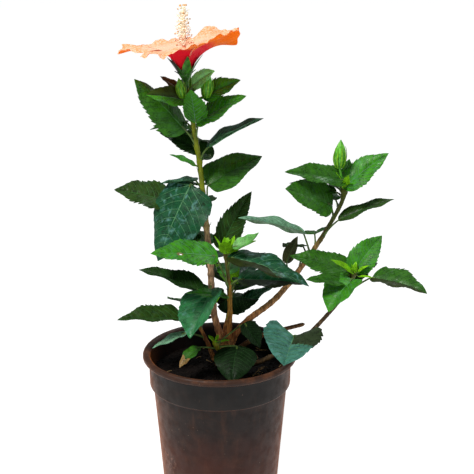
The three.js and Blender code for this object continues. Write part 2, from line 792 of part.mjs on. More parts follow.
// The crown flares out in lobes to a flat cut just over the soil, and carries the foot of each stem.
function crownSolid() {
  const foot = SOIL.top + GAP;
  const rod = new THREE.CylinderGeometry(1, 1, 1, 15, 4);
  const flare = bend(rod, (x, y, z) => {
    const share = y + 0.5;
    const turn = Math.atan2(z, x);
    const lobe = 1 + CROWN.lobeDepth * (1 - share) * Math.cos(CROWN.lobes * turn);
    const radius = CROWN.neckRadius + (CROWN.footRadius - CROWN.neckRadius) * (1 - share) ** 2.2;
    return new THREE.Vector3(
      5 + x * radius * lobe,
      -z * radius * lobe,
      foot + (CROWN.top - foot) * share,
    );
  });
  const solids = [flare];
  for (const [name, up] of Object.entries(CROWN_ENDS)) {
    const stem = STEMS[name];
    solids.push(tube(stem.curve, 0, shareAt(stem, up), (share) => radiusOf(stem, share), stem.sides, 3));
  }
  return fuse(solids);
}

// ---------------------------------------------------------------------------------- assembly

const plant = new THREE.Group();

function add(name, geometry, colour, roughness) {
  const material = new THREE.MeshStandardMaterial({ color: colour, roughness, metalness: 0 });
  const mesh = new THREE.Mesh(geometry, material);
  mesh.name = name;
  plant.add(mesh);
}

add("pot", potSolid(), COLOURS.pot, 0.55);
add("soil", soilSolid(), COLOURS.soil, 0.95);
add("crown", crownSolid(), COLOURS.bark, 0.85);

const BOUGHS = {
  tall_stem: ["tall", 258],
  middle_stem: ["middle", 256],
  right_limb: ["right", 262],
  low_right_limb: ["lowRight", 207],
  cut_stub: ["stub", null],
};

for (const [name, [stemName, end]] of Object.entries(BOUGHS)) {
  add(name, stemPiece(STEMS[stemName], CROWN_ENDS[stemName], end), COLOURS.bark, 0.8);
}

for (const [name, stem] of Object.entries(STEMS)) markStem(name, stem);

for (const [name, mass] of Object.entries(MASSES)) markLeaves(name, STEMS[mass.stem], mass.leaves);

for (const [name, mass] of Object.entries(MASSES)) {
  const stem = STEMS[mass.stem];
  const owners = [name, mass.stem];
  const more = mass.fill ? filled(stem, mass.fill, owners) : [];
  markLeaves(name, stem, more);
  const young = mass.rosette ? rosette(stem, mass.rosette, owners) : [];
  const solids = [stemPiece(stem, mass.from, mass.to)];
  for (const item of [...mass.leaves, ...more, ...young]) {
    const joint = stem.curve.getPointAt(shareAt(stem, item.up));
    const base = baseOf(stem, item);
    const isYoung = item.length <= LEAF.youngLength;
    const fullSteps = more.includes(item) ? LEAF.fillSteps : LEAF.steps;
    solids.push(stalkSolid(joint, base, item, isYoung));
    solids.push(bladeSolid(item, base, isYoung ? LEAF.youngSteps : fullSteps));
  }
  for (const bud of mass.buds ?? []) solids.push(...budSolids(stem, bud));
  add(name, fuse(solids), mass.colour, 0.45);
}

add("bloom", bloomSolid(), COLOURS.bloom, 0.5);

export default plant;
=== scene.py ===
"""The looks of a young hibiscus shrub in its nursery pot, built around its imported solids.

Lengths inside the plant's rule are millimetres, as in its solids; meshes are metres. +X is to the
right, +Y to the back and +Z up, and compass angles turn from +X (0) through +Y (90) to -X (180).
"""

import math

import bpy
import numpy as np
from bpy.props import FloatProperty, FloatVectorProperty, IntProperty, PointerProperty
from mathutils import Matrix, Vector, noise


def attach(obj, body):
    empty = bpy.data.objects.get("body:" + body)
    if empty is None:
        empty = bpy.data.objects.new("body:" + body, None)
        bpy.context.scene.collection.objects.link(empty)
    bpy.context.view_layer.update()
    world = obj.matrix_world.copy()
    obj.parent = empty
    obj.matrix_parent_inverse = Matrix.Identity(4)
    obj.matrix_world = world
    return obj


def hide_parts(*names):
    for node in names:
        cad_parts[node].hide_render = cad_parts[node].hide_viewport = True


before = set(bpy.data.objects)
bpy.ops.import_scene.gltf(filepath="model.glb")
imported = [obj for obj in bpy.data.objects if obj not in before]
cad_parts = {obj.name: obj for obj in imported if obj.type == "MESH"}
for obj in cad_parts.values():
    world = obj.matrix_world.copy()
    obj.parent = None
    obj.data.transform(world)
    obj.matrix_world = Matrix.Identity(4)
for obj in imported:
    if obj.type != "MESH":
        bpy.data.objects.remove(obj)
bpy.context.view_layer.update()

bl_info = {
    "name": "Potted hibiscus",
    "version": (1, 0, 0),
    "blender": (4, 5, 0),
    "location": "3D View > Sidebar > Hibiscus",
    "description": "Bark, foliage, bloom, pot and soil of a potted hibiscus shrub",
    "category": "Add Mesh",
}

MM = 0.001
UP = np.array([0.0, 0.0, 1.0])
GOLDEN_TURN = 137.5
GOLDEN_SHARE = 0.618034

# ------------------------------ the plant's plan

# The curve of each limb: its places [right, back, up], and its radius at the foot and at the tip.
STEMS = {
    "tall": ([(2, 0, 170), (2, 0, 200), (-8, 0, 242), (-12, 4, 304),
              (-17, 6, 360), (-24, 4, 433), (-31, 1, 483), (-38, -2, 528)], 4.6, 2.4),
    "middle": ([(8, -1, 170), (11, -2, 200), (13, -6, 240), (12, -9, 281),
                (9, -10, 312), (8, -10, 326)], 3.8, 2),
    "right": ([(10, 3, 174), (19, 4, 208), (36, 6, 228), (71, 14, 254),
               (107, 22, 298), (139, 20, 351), (155, 12, 389), (156, 9, 408)], 4.6, 2.2),
    "lowRight": ([(8, -5, 172), (39, -12, 188), (70, -22, 198), (101, -32, 213),
                  (128, -40, 246), (154, -42, 282), (167, -39, 313)], 3.6, 2),
    "stub": ([(8, 6, 174), (30, 9, 192), (55, 13, 204), (111, 21, 217)], 3.2, 2.6),
    "front": ([(2, -8, 172), (2, -17, 188), (-4, -24, 204), (-8, -27, 214)], 2.6, 1.5),
    "left": ([(-7, 2, 172), (-17, 5, 198), (-28, 7, 221), (-41, 9, 240)], 2.8, 1.6),
    "back": ([(2, 9, 172), (4, 21, 198), (12, 40, 232), (16, 52, 268)], 3.2, 1.7),
}

# The course of a finished limb that lies lower than its solid.
COURSES = {
    "lowRight": [(8, -5, 166), (28, -9, 169), (47, -12, 176), (68, -20, 189), (86, -27, 201),
                 (101, -32, 213), (128, -40, 246), (154, -42, 282), (167, -39, 313)],
}

# Where the bark of each limb turns from brown to green, by height. The stub ends far below.
NEVER_GREEN = (400, 500)
GREEN_FROM = {
    "tall": (330, 400), "middle": (262, 300), "right": (300, 360), "lowRight": (262, 300),
    "stub": NEVER_GREEN, "front": (188, 206), "left": (205, 228), "back": (206, 240),
}

# What the old bark of a limb is, where it isn't the common tan-brown.
OLD_BARK = {"tall": (0.36, 0.22, 0.12), "middle": (0.34, 0.17, 0.02), "right": (0.3, 0.16, 0.06),
            "lowRight": (0.055, 0.032, 0.012), "stub": (0.12, 0.055, 0.018)}

# What the young bark of a limb is, where it isn't the common green.
YOUNG_BARK = {"middle": (0.075, 0.07, 0.008), "right": (0.08, 0.095, 0.012),
              "lowRight": (0.08, 0.095, 0.012)}

# The solid that each limb's bark stands for. The three short shoots belong to the crown's.
STEM_NODES = {
    "tall": "tall_stem", "middle": "middle_stem", "right": "right_limb",
    "lowRight": "low_right_limb", "stub": "cut_stub",
}

# The height at which each limb leaves the crown.
CROWN_ENDS = {
    "tall": 222, "middle": 222, "right": 214, "lowRight": 178,
    "stub": 190, "front": 188, "left": 196, "back": 198,
}

# The crown stands on its foot and narrows to its top, a little to the right of the pot's middle.
CROWN_FOOT = 163.3
CROWN_TOP = 199
CROWN_RIGHT = 5

# The pot's half section [radius, height]: from the middle of its base up the outside, over the rim
# and down the inside.
POT_SECTION = [(0, 0), (73, 0), (76, 2.5), (87, 145), (91.5, 147), (92, 182), (98, 182),
               (100, 184.5), (99.4, 188.2), (97, 190), (93, 189.2), (89.8, 186), (89.3, 148),
               (84.8, 144), (74.1, 3), (0, 3)]
COLLAR_TOP = 182
DRAIN_HOLES = 6
DRAIN_RING = 48
DRAIN_RADIUS = 6

# The soil's half section up to its edge, and how far its surface rises towards the middle.
SOIL_RADIUS = 88.6
SOIL_SECTION = [(0, 3.3), (73.4, 3.3), (84, 144), (SOIL_RADIUS, 148), (SOIL_RADIUS, 159.5)]
SOIL_SURFACE = 160.6
SOIL_RISE = 2.2

# How far apart a limb is marked, and how close a later leaf may come to its bark or to a blade.
MARK_SPACING = 5
STEM_REACH = 2
BLADE_REACH = 8


def leaf(up, stalk, blade, tint="mature", **more):
    """A leaf: the height of its joint, its stalk (compass, rise, length), and its blade (compass,
    pitch, length, width). seen holds what its finished blade does otherwise than its solid."""
    item = {"up": up, "stalk": stalk, "tint": tint, "fold": 8, "droop": 14, "lobe": 0.05, "notch": 0,
            "roll": 0, "tooth": 1.0, "seen": {}}
    item.update(zip(("compass", "pitch", "length", "width"), blade))
    item.update(more)
    return item


def bud(up, stalk, compass, rise, length, width):
    """A bud: the height of its joint, its stalk as a leaf's, and the way it points."""
    return {"up": up, "stalk": stalk, "compass": compass, "rise": rise, "length": length, "width": width}


def fill(seed, count, up, compass, length, pitch):
    """Leaves that the rule spreads over a bare part of the compass, each within these spans."""
    return {"seed": seed, "count": count, "up": up, "compass": compass, "length": length, "pitch": pitch}


def young_tip(seed, count, up, length, pitch, width, grown=1, slim=0.66):
    """A spiral of young leaves round a growing tip. width is a share of the length. The finished
    leaves are grown times as long as their solids, and slim times as wide as they are long."""
    return {"seed": seed, "count": count, "up": up, "length": length, "pitch": pitch, "width": width,
            "grown": grown, "slim": slim}


# Where a leaf gives a side, a start and an end for its half blade in shade, that half is painted darker as
# painted shade.
# Each mass of foliage: its limb, its leaves and buds one by one, and what the rule adds to them.
MASSES = {
    "tall_stem_low_leaves": {
        "stem": "tall",
        "leaves": [
            leaf(264, (200, 35, 18), (174, 15, 84, 44), "dark", roll=14,
                 seen={"stalk": (194, 26, 18), "compass": 167, "width": 48, "fold": 17, "roll": 4}),
            leaf(280, (246, -14, 18), (228, -42, 68, 60), "jade", fold=-6, roll=12, tooth=0.6,
                 seen={"stalk": (265, -28, 14), "compass": 240, "pitch": -44, "width": 79, "fold": 15,
                       "roll": -22}),
        ],
        "fill": fill(11, 5, (290, 330), (80, 165), (60, 82), (-16, 6)),
        "tuft": [
            leaf(250, (262, 30, 7), (250, 48, 13, 9), "young", fold=20),
            leaf(251, (310, 36, 6), (330, 55, 12, 8), "young", fold=20),
            leaf(249, (205, 30, 6), (196, 40, 11, 7), "young", fold=20),
            leaf(253, (280, 60, 5), (285, 80, 12, 7), "young", fold=24),
        ],
    },
    "tall_stem_middle_leaves": {
        "stem": "tall",
        "leaves": [
            leaf(380, (194, 66, 34), (218, -64, 112, 82), "blue", fold=-6, droop=24, roll=34, tooth=0.3,
                 seen={"stalk": (177, 60, 33), "compass": 205, "length": 105, "fold": -12,
                       "droop": 10, "lobe": 0.07, "notch": 0.12}),
            leaf(368, (166, 17, 55), (187, 12, 68, 46), "olive", roll=28, tooth=1.3,
                 seen={"stalk": (150, 12, 60), "compass": 180, "width": 56}),
            leaf(355, (327, 66, 49), (10, 36, 78, 66), "mature", roll=-44, tooth=0.3,
                 seen={"stalk": (340, 87, 52), "compass": 17, "pitch": 25, "lobe": 0.1,
                       "notch": 0.12, "roll": -21}),
        ],
        "fill": fill(23, 4, (362, 404), (85, 150), (52, 74), (-18, 0)),
    },
    "tall_stem_high_leaves": {
        "stem": "tall",
        "leaves": [
            leaf(438, (328, 53, 25), (355, 28, 75, 46), "blue", roll=-4, fold=14, tooth=0.3),
            leaf(427, (229, 37, 13), (196, 25, 34, 16), "fresh", roll=20),
            leaf(437, (37, 18, 18), (171, 23, 70, 36), "dark", roll=30),
            leaf(455, (200, 56, 29), (184, 46, 84, 56), "mature", roll=42, fold=-24),
            leaf(465, (293, 65, 26), (348, 29, 67, 44), "fresh", roll=-34),
        ],
        "fill": fill(37, 4, (446, 478), (85, 150), (44, 60), (-16, 4)),
    },
    "flower_head_leaves": {
        "stem": "tall",
        "leaves": [
            leaf(492, (290, -10, 15), (254, 66, 44, 34), "fresh", fold=12),
            leaf(508, (344, 30, 21), (0, 24, 48, 34), "fresh", roll=-40),
            leaf(504, (233, 41, 17), (200, 10, 46, 30), "fresh", roll=18, fold=26, dull=(1, 0, 1),
                 seen={"roll": 50, "fold": 14}),
            leaf(516, (140, 31, 19), (150, 27, 30, 14), "bronze", roll=20),
            leaf(518, (310, 66, 17), (342, 22, 36, 26), "lime", droop=84, fold=-18,
                 seen={"stalk": (292, 42, 21), "compass": 322, "pitch": 30, "length": 40, "width": 22,
                       "fold": 5, "droop": 25, "lobe": 0, "roll": -75}),
        ],
        "buds": [
            bud(515, (234, 18, 12), 205, 78, 23, 11),
            bud(511, (332, 20, 25), 323, 83, 29, 13),
            bud(513, (95, 40, 20), 95, 70, 20, 10),
        ],
        "fill": fill(41, 3, (492, 514), (60, 150), (28, 44), (5, 35)),
    },
    "middle_stem_leaves": {
        "stem": "middle",
        "leaves": [
            leaf(274, (236, 60, 62), (200, 8, 82, 44), "fresh", roll=32, hole=(0.56, -0.14)),
            leaf(303, (290, 52, 25), (341, -15, 104, 54), "blue", roll=-6, droop=26, tooth=0.5,
                 dull=(1, 0, 0.4)),
            leaf(281, (342, 31, 19), (356, -3, 82, 42), "jade", roll=-18, dull=(1, 0, 1)),
            leaf(318, (315, 51, 22), (350, 33, 38, 26), "lime", droop=50, fold=20, roll=-20, tooth=0,
                 seen={"droop": -50}),
            leaf(312, (118, 50, 21), (23, 59, 80, 36), "olive", roll=-55),
            leaf(262, (238, 36, 12), (196, 10, 52, 24), "fresh", roll=10),
            leaf(268, (288, 39, 11), (333, -27, 48, 32), "deep",
                 seen={"stalk": (91, -24, 30), "compass": 5, "pitch": -7, "length": 39, "width": 57,
                       "fold": -44, "droop": 8, "lobe": 0.5, "notch": 0.03, "roll": 5}),
        ],
        "fill": fill(53, 5, (266, 304), (45, 130), (52, 76), (-16, 14)),
        "rosette": young_tip(59, 7, 324, (18, 36), (28, 80), 0.48),
    },
    "right_limb_leaves": {
        "stem": "right",
        "leaves": [
            leaf(312, (221, 65, 37), (196, 16, 88, 28), "silver", roll=18, tooth=0.2, dull=(-1, 0, 0.7)),
            leaf(274, (244, 76, 32), (351, 69, 38, 22), "bronze", tooth=0.2,
                 seen={"roll": 72, "width": 17}),
            leaf(333, (324, 48, 42), (356, 22, 71, 30), "olive", roll=-14),
        ],
        "fill": fill(61, 3, (284, 330), (75, 130), (46, 62), (-22, -12)),
    },
    "right_limb_top_leaves": {
        "stem": "right",
        "leaves": [
            leaf(362, (242, 60, 23), (198, 22, 66, 56), "mature", roll=46, tooth=0.6),
            leaf(398, (273, 52, 10), (4, 38, 67, 40), "fresh", roll=-40),
            leaf(400, (257, 73, 14), (185, 9, 76, 36), "mature", roll=38, fold=14),
            leaf(390, (139, 22, 15), (172, 9, 58, 24), "mature", roll=20),
            leaf(402, (73, 56, 9), (65, 63, 30, 26), "fresh", roll=-60),
        ],
        "buds": [bud(402, (200, 74, 29), 60, 86, 34, 15)],
        "fill": fill(67, 4, (362, 396), (45, 140), (42, 60), (-14, 16)),
        "rosette": young_tip(71, 6, 402, (14, 28), (30, 75), 0.4, grown=1.25, slim=0.38),
    },
    "low_right_leaves": {
        "stem": "lowRight",
        "leaves": [
            leaf(217, (228, 60, 28), (262, -16, 76, 88), "sky", fold=-22, droop=36, lobe=0.24, tooth=0.5,
                 dull=(-1, 0, 0.3),
                 seen={"stalk": (237, 30, 28), "compass": 257, "pitch": -7, "length": 72, "width": 78,
                       "fold": 18, "droop": 2, "lobe": 0.34, "notch": 0.07, "roll": 5}),
        ],
    },
    "low_right_top_leaves": {
        "stem": "lowRight",
        "leaves": [
            leaf(297, (105, 52, 14), (170, 12, 74, 42), "mature", roll=30),
            leaf(295, (231, 21, 12), (198, 9, 52, 26), "mature", roll=20),
            leaf(309, (70, 10, 5), (22, 48, 54, 38), "fresh", roll=-45),
            leaf(307, (249, 29, 6), (207, 33, 38, 14), "young", roll=30),
            leaf(297, (262, 46, 14), (231, -32, 60, 62), "fresh", fold=-8, roll=8, tooth=0.4,
                 seen={"stalk": (270, 29, 17), "compass": 212, "pitch": -46, "length": 50, "width": 64,
                       "fold": 14, "droop": 30, "lobe": 0.15, "notch": 0.12, "roll": -5}),
            leaf(276, (350, 47, 34), (350, -6, 74, 46), "mature", roll=-28, dull=(1, 0, 1),
                 seen={"stalk": (351, 38, 46), "compass": 328, "length": 72, "fold": 16, "droop": 28,
                       "lobe": 0, "roll": -13}),
            leaf(307, (318, -16, 8), (320, 8, 20, 9), "young"),
        ],
        "fill": fill(79, 4, (276, 304), (45, 130), (46, 62), (-12, 14)),
        "rosette": young_tip(83, 5, 308, (12, 22), (35, 80), 0.36, grown=0.8),
    },
    "front_shoot_leaves": {
        "stem": "front",
        "leaves": [
            leaf(203, (352, 5, 26), (261, -34, 54, 56), "deep", fold=-8, droop=30, tooth=0.4),
            leaf(200, (190, 8, 26), (222, -32, 36, 22), "mature", droop=30, scorch=0.62),
            leaf(206, (22, 30, 46), (326, -50, 36, 40), "deep"),
        ],
        "rosette": young_tip(89, 6, 211, (16, 28), (10, 60), 0.34, grown=0.38),
    },
    "left_shoot_leaves": {
        "stem": "left",
        "leaves": [
            leaf(238, (184, 5, 7), (185, 0, 84, 38), "olive", roll=18, tooth=1.4,
                 seen={"up": 230, "stalk": (179, -3, 16), "compass": 194, "pitch": 4, "width": 46,
                       "fold": 23, "lobe": 0, "roll": 14}),
            leaf(204, (195, 18, 28), (196, -20, 46, 17), "silver", roll=10),
        ],
        "fill": fill(97, 4, (212, 236), (85, 128), (46, 66), (-20, -8)),
    },
    "back_shoot_leaves": {
        "stem": "back",
        "leaves": [leaf(240, (60, 40, 20), (70, 0, 74, 44), "mature")],
        "fill": fill(101, 7, (214, 262), (25, 155), (48, 78), (-14, 24)),
        "rosette": young_tip(103, 5, 264, (20, 36), (30, 70), 0.4),
    },
}

# The open flower: its stalk's places, the lean of its axis (compass, angle), the length and width of
# a petal, the depth of the funnel and the length of the column.
BLOOM = {
    "stalk": [(-38, -2, 526), (-38.5, -2, 533), (-39, -2, 539)],
    "lean": (150, 5),
    "length": 77,
    "width": 76,
    "funnel": 40,
    # Each petal's compass, lift and roll, and how far its sides stand up.
    "petals": [(186, 4, 4, 0), (256, -1, -6, 0), (330, 15, 0, -11), (42, 15, -8, 0), (114, 8, 6, 0)],
    "column": 83,
}

# ------------------------------ numbers and curves


class Seeded:
    """A repeatable row of numbers from 0 to 1, so the shrub grows the same way each time."""

    def __init__(self, seed):
        self.state = seed

    def __call__(self):
        self.state = (self.state * 1664525 + 1013904223) % 2**32
        return self.state / 2**32

    def between(self, low, high):
        return low + (high - low) * self()


def heading(compass, rise):
    """The direction at a compass angle and a rise over the level, both in degrees."""
    turn, lift = math.radians(compass), math.radians(rise)
    return np.array([math.cos(lift) * math.cos(turn), math.cos(lift) * math.sin(turn), math.sin(lift)])


def unit(vector):
    return vector / np.linalg.norm(vector)


def smooth_path(places, per_span=40):
    """Points of the centripetal curve through some places."""
    p = np.array(places, float)
    p = np.vstack([2 * p[0] - p[1], p, 2 * p[-1] - p[-2]])
    t = np.linspace(0, 1, per_span, endpoint=False)[:, None]
    spans = []
    for a, b, c, d in zip(p, p[1:], p[2:], p[3:]):
        before, here, after = (math.sqrt(np.linalg.norm(q - r)) for q, r in ((b, a), (c, b), (d, c)))
        start = ((b - a) / before - (c - a) / (before + here) + (c - b) / here) * here
        end = ((c - b) / here - (d - b) / (here + after) + (d - c) / after) * here
        cubic = 2 * (b - c) + start + end
        square = 3 * (c - b) - 2 * start - end
        spans.append(b + start * t + square * t**2 + cubic * t**3)
    return np.vstack([*spans, p[-2]])


class Limb:
    """A stem as a curve that is read by shares of its length."""

    def __init__(self, places, foot, tip):
        self.points = smooth_path(places)
        steps = np.linalg.norm(np.diff(self.points, axis=0), axis=1)
        travelled = np.concatenate([[0], np.cumsum(steps)])
        self.length = travelled[-1]
        self.shares = travelled / self.length
        self.foot, self.tip = foot, tip

    def at(self, share):
        return np.stack([np.interp(share, self.shares, self.points[:, k]) for k in range(3)], axis=-1)

    def share_at(self, up):
        return float(np.interp(up, self.points[:, 2], self.shares))

    def radius(self, share):
        return self.foot + (self.tip - self.foot) * share


LIMBS = {name: Limb(*plan) for name, plan in STEMS.items()}
FINISHED_LIMBS = {name: Limb(COURSES.get(name, plan[0]), *plan[1:]) for name, plan in STEMS.items()}


def grain(points, scale, seed=0):
    """Smooth noise from -1 to 1 at each point."""
    flat = (np.asarray(points) * scale + seed * 17.3).reshape(-1, 3)
    return np.array([noise.noise(Vector(p)) for p in flat]).reshape(np.shape(points)[:-1])


def part_way(span, share):
    """The value at a share of the way over a span (start, end)."""
    return span[0] + (span[1] - span[0]) * share


def fade(value, low, high):
    """0 below low, 1 above high, and smooth between them."""
    t = np.clip((np.asarray(value, float) - low) / (high - low), 0, 1)
    return t * t * (3 - 2 * t)


# ------------------------------ the leaf rule


def outline(share):
    """The half width of a blade, as a share of its widest."""
    widest = 0.32
    share = np.clip(share, 0, 1)
    return share**0.45 * (1 - share) ** 0.95 / (widest**0.45 * (1 - widest) ** 0.95)


def midrib(item, base, share):
    """Place, side and normal of the blade's middle line: an arc that bends down ahead of the leaf."""
    droop = math.radians(item["droop"])
    start = math.radians(item["pitch"]) + droop / 2
    angle = start - droop * np.asarray(share, float)
    if abs(droop) > 1e-3:
        level, rise = (math.sin(start) - np.sin(angle)) / droop, (np.cos(angle) - math.cos(start)) / droop
    else:
        level, rise = share * math.cos(start), share * math.sin(start)
    ahead = heading(item["compass"], 0)
    right = np.cross(ahead, UP)
    place = base + item["length"] * (level[..., None] * ahead + rise[..., None] * UP)
    along = np.cos(angle)[..., None] * ahead + np.sin(angle)[..., None] * UP
    above = np.cross(right, along)
    roll = math.radians(item["roll"])
    side = right * math.cos(roll) + above * math.sin(roll)
    normal = above * math.cos(roll) - right * math.sin(roll)
    return place, side, normal


def on_blade(item, base, share, across, lift=0.0, least=0.06):
    """Points on a blade: across runs from -1 to 1, and lift is a height over the fold."""
    share, across = np.broadcast_arrays(np.asarray(share, float), np.asarray(across, float))
    half = item["width"] / 2 * np.maximum(outline(share), least)
    reach = np.abs(across)
    lobes = item["lobe"] * reach * (1 - share) ** 2
    if item["notch"]:
        lobes = lobes * np.clip(share / item["notch"], 0, 1)
    place, side, normal = midrib(item, base, share - lobes)
    fold = math.radians(item["fold"])
    out = (across * half * math.cos(fold))[..., None]
    high = (reach * half * math.sin(fold) + lift)[..., None]
    return place + out * side + high * normal


def base_of(limb, item):
    """The far end of a leaf's or a bud's stalk."""
    compass, rise, length = item["stalk"]
    return limb.at(limb.share_at(item["up"])) + heading(compass, rise) * length


class Space:
    """Marks on the places that limbs and blades take, by which a later leaf sees what is free."""

    def __init__(self):
        self.places, self.reaches, self.owners = [], [], []

    def mark(self, owner, places, reach):
        for place in places:
            self.places.append(place)
            self.reaches.append(reach)
            self.owners.append(owner)

    def mark_leaves(self, owner, limb, items):
        for item in items:
            self.mark(owner, self.blade_marks(item, base_of(limb, item)), BLADE_REACH)

    @staticmethod
    def blade_marks(item, base):
        shares = np.array([0.12, 0.25, 0.38, 0.51, 0.64, 0.77, 0.9, 1])[:, None]
        return on_blade(item, base, shares, np.array([-1, -0.5, 0, 0.5, 1])[None, :]).reshape(-1, 3)

    def is_free(self, item, base, owners):
        others = np.array([owner not in owners for owner in self.owners])
        places, reaches = np.array(self.places)[others], np.array(self.reaches)[others]
        gaps = np.linalg.norm(self.blade_marks(item, base)[:, None] - places[None], axis=2)
        return bool((gaps > reaches).all())


FILL_TINTS = ("mature", "blue", "olive", "mature", "fresh")
FILL_STALK = 0.34
FILL_WIDTH = 0.56


def filled(limb, rule, space, owners):
    """Leaves that the rule adds: a spiral of turns within the bare part of the compass."""
    random, added = Seeded(rule["seed"]), []
    for i in range(rule["count"]):
        turn = (i * GOLDEN_SHARE + random() * 0.2) % 1
        compass = part_way(rule["compass"], turn)
        up = part_way(rule["up"], (i + 0.5) / rule["count"])
        length = random.between(*rule["length"])
        pitch = random.between(*rule["pitch"])
        roll = random.between(-16, 16)
        stalk = (compass, 38 + 12 * random(), length * FILL_STALK)
        blade = (compass + random.between(-14, 14), pitch, length, length * FILL_WIDTH)
        item = leaf(up, stalk, blade, FILL_TINTS[(i + rule["seed"]) % len(FILL_TINTS)], roll=roll)
        if space.is_free(item, base_of(limb, item), owners):
            added.append(item)
    return added


def rosette(limb, rule, space, owners):
    """Young leaves in a tightening spiral round a growing tip."""
    random, added = Seeded(rule["seed"]), []
    for i in range(rule["count"]):
        age = 1 - i / (rule["count"] - 1)
        length = part_way(rule["length"], age)
        pitch = part_way(rule["pitch"], 1 - age)
        compass = GOLDEN_TURN * i + random.between(-12, 12)
        blade = (compass, pitch, length, length * rule["width"])
        grown = length * rule["grown"]
        item = leaf(rule["up"] - 6 * age, (compass, 45, 3 + 6 * age), blade, "young", fold=24, droop=20,
                    seen={"length": grown, "width": grown * rule["slim"], "fold": 12})
        if space.is_free(item, base_of(limb, item), owners):
            added.append(item)
    return added


def grow():
    """Every leaf of the shrub, as (limb's name, leaf), by the same rule as its solids."""
    space, grown = Space(), []
    for name, limb in LIMBS.items():
        count = math.ceil(limb.length / MARK_SPACING)
        space.mark(name, limb.at(np.linspace(0, 1, count + 1)), limb.foot + STEM_REACH)
    for name, mass in MASSES.items():
        space.mark_leaves(name, LIMBS[mass["stem"]], mass["leaves"])
    for name, mass in MASSES.items():
        limb, owners = LIMBS[mass["stem"]], (name, mass["stem"])
        more = filled(limb, mass["fill"], space, owners) if "fill" in mass else []
        space.mark_leaves(name, limb, more)
        young = rosette(limb, mass["rosette"], space, owners) if "rosette" in mass else []
        young += mass.get("tuft", [])
        grown += [(mass["stem"], {**item, **item["seen"]}) for item in [*mass["leaves"], *more, *young]]
    return grown


# ------------------------------ settings


def length_setting(name, description, millimetres):
    return FloatProperty(name=name, description=description, default=millimetres * MM, min=0,
                         subtype="DISTANCE", unit="LENGTH", precision=4)


def power_setting(name, description, watts):
    return FloatProperty(name=name, description=description, default=watts, min=0,
                         subtype="POWER", unit="POWER")


def colour_setting(name, description, colour):
    return FloatVectorProperty(name=name, description=description, default=colour, min=0, max=1,
                               size=3, subtype="COLOR")


class PotSettings(bpy.types.PropertyGroup):
    """The nursery pot and what fills it"""

    facets: IntProperty(name="Facets", description="Faces round the pot", default=144, min=24)
    plastic: colour_setting("Plastic", "Dark brown plastic of the pot", (0.011, 0.0065, 0.0055))
    wear: colour_setting("Wear", "Rubbed and sun-faded plastic", (0.15, 0.052, 0.02))
    dust: colour_setting("Dust", "Dried soil and dust on the wall", (0.11, 0.07, 0.05))
    mix: colour_setting("Soil", "Damp potting mix", (0.0045, 0.003, 0.0024))
    crumb: length_setting("Crumb", "Mean radius of a crumb of soil", 1.5)
    crumbs: FloatProperty(name="Crumbs", description="Crumbs on each square metre of soil",
                          default=26000, min=0)


class StemSettings(bpy.types.PropertyGroup):
    """The limbs of the shrub"""

    sides: IntProperty(name="Sides", description="Faces round a limb", default=22, min=8)
    ring: length_setting("Ring", "Distance between rings of faces along a limb", 1.3)
    relief: length_setting("Relief", "Depth of the old bark's furrows", 0.45)
    old_bark: colour_setting("Old bark", "Tan-brown bark near the foot", (0.27, 0.135, 0.05))
    green_bark: colour_setting("Green bark", "Bark of this year's growth", (0.17, 0.2, 0.005))
    foot_bark: colour_setting("Foot bark", "Reddish bark at the foot of a limb", (0.55, 0.18, 0.05))
    crown_bark: colour_setting("Crown bark", "Orange-brown bark of the crown", (0.85, 0.36, 0.12))


class LeafSettings(bpy.types.PropertyGroup):
    """Blades, veins, stalks and buds"""

    tooth: FloatProperty(name="Tooth", description="How far a notch cuts into the half width",
                         default=0.13, min=0, max=0.5, subtype="FACTOR")
    thickness: length_setting("Thickness", "Thickness of a blade at the midrib", 0.5)
    groove: length_setting("Groove", "Depth of the fold along the midrib", 1.1)
    puff: FloatProperty(name="Puff", description="Rise between two veins, as a share of the blade's length",
                        default=0.012, min=0)
    wave: FloatProperty(name="Wave", description="Wave of the margin, as a share of the blade's length",
                        default=0.026, min=0)
    vein: length_setting("Vein", "Radius of a side vein where it leaves the midrib", 0.52)
    stalk: length_setting("Stalk", "Radius of the stalk of a full-grown leaf", 1.15)
    mature: colour_setting("Mature", "Full-grown blade", (0.018, 0.08, 0.003))
    blue: colour_setting("Blue-green", "Full-grown blade that takes the sky", (0.002, 0.04, 0.013))
    # Painted reflection: the sky blade's pale teal stands in for the sky mirrored in it.
    sky: colour_setting("Sky", "Drooping blade that lies open to the sky", (0.032, 0.12, 0.088))
    # Painted light: the silver blade's pale grey-green stands in for sky light falling on it, not a bloom of
    # its own.
    silver: colour_setting("Silver", "Blade with a pale bloom", (0.12, 0.25, 0.15))
    lime: colour_setting("Lime", "Pale green blade, still soft", (0.1, 0.31, 0.06))
    # Painted reflection: the jade blade's bloom is painted sky reflection on its upper face.
    jade: colour_setting("Jade", "Nearly grown blade with a bloom", (0.012, 0.105, 0.03))
    fresh: colour_setting("Fresh", "Nearly grown blade", (0.028, 0.155, 0.005))
    young: colour_setting("Young", "Blade at a growing tip", (0.15, 0.38, 0.005))
    olive: colour_setting("Olive", "Blade that stands in shade", (0.014, 0.036, 0.003))
    dark: colour_setting("Dark", "Blade in deep shade", (0.008, 0.027, 0.003))
    deep: colour_setting("Deep", "Blade in the deepest shade", (0.004, 0.011, 0.003))
    # Painted shade: the colour that darkens the half blade which turns from the light.
    dull: colour_setting("Dull", "What dulls the half blade that turns from the light",
                         (0.014, 0.014, 0.002))
    bronze: colour_setting("Bronze", "Brownish young blade", (0.06, 0.055, 0.02))
    dry: colour_setting("Dry", "Scorched part of a blade", (0.2, 0.11, 0.035))
    rib: colour_setting("Pale veins", "Veins of a light blade", (0.085, 0.23, 0.1))
    nerve: colour_setting("Dark veins", "Veins of a dark blade", (0.035, 0.13, 0.025))
    petiole: colour_setting("Stalk colour", "Leaf stalks", (0.075, 0.13, 0.02))


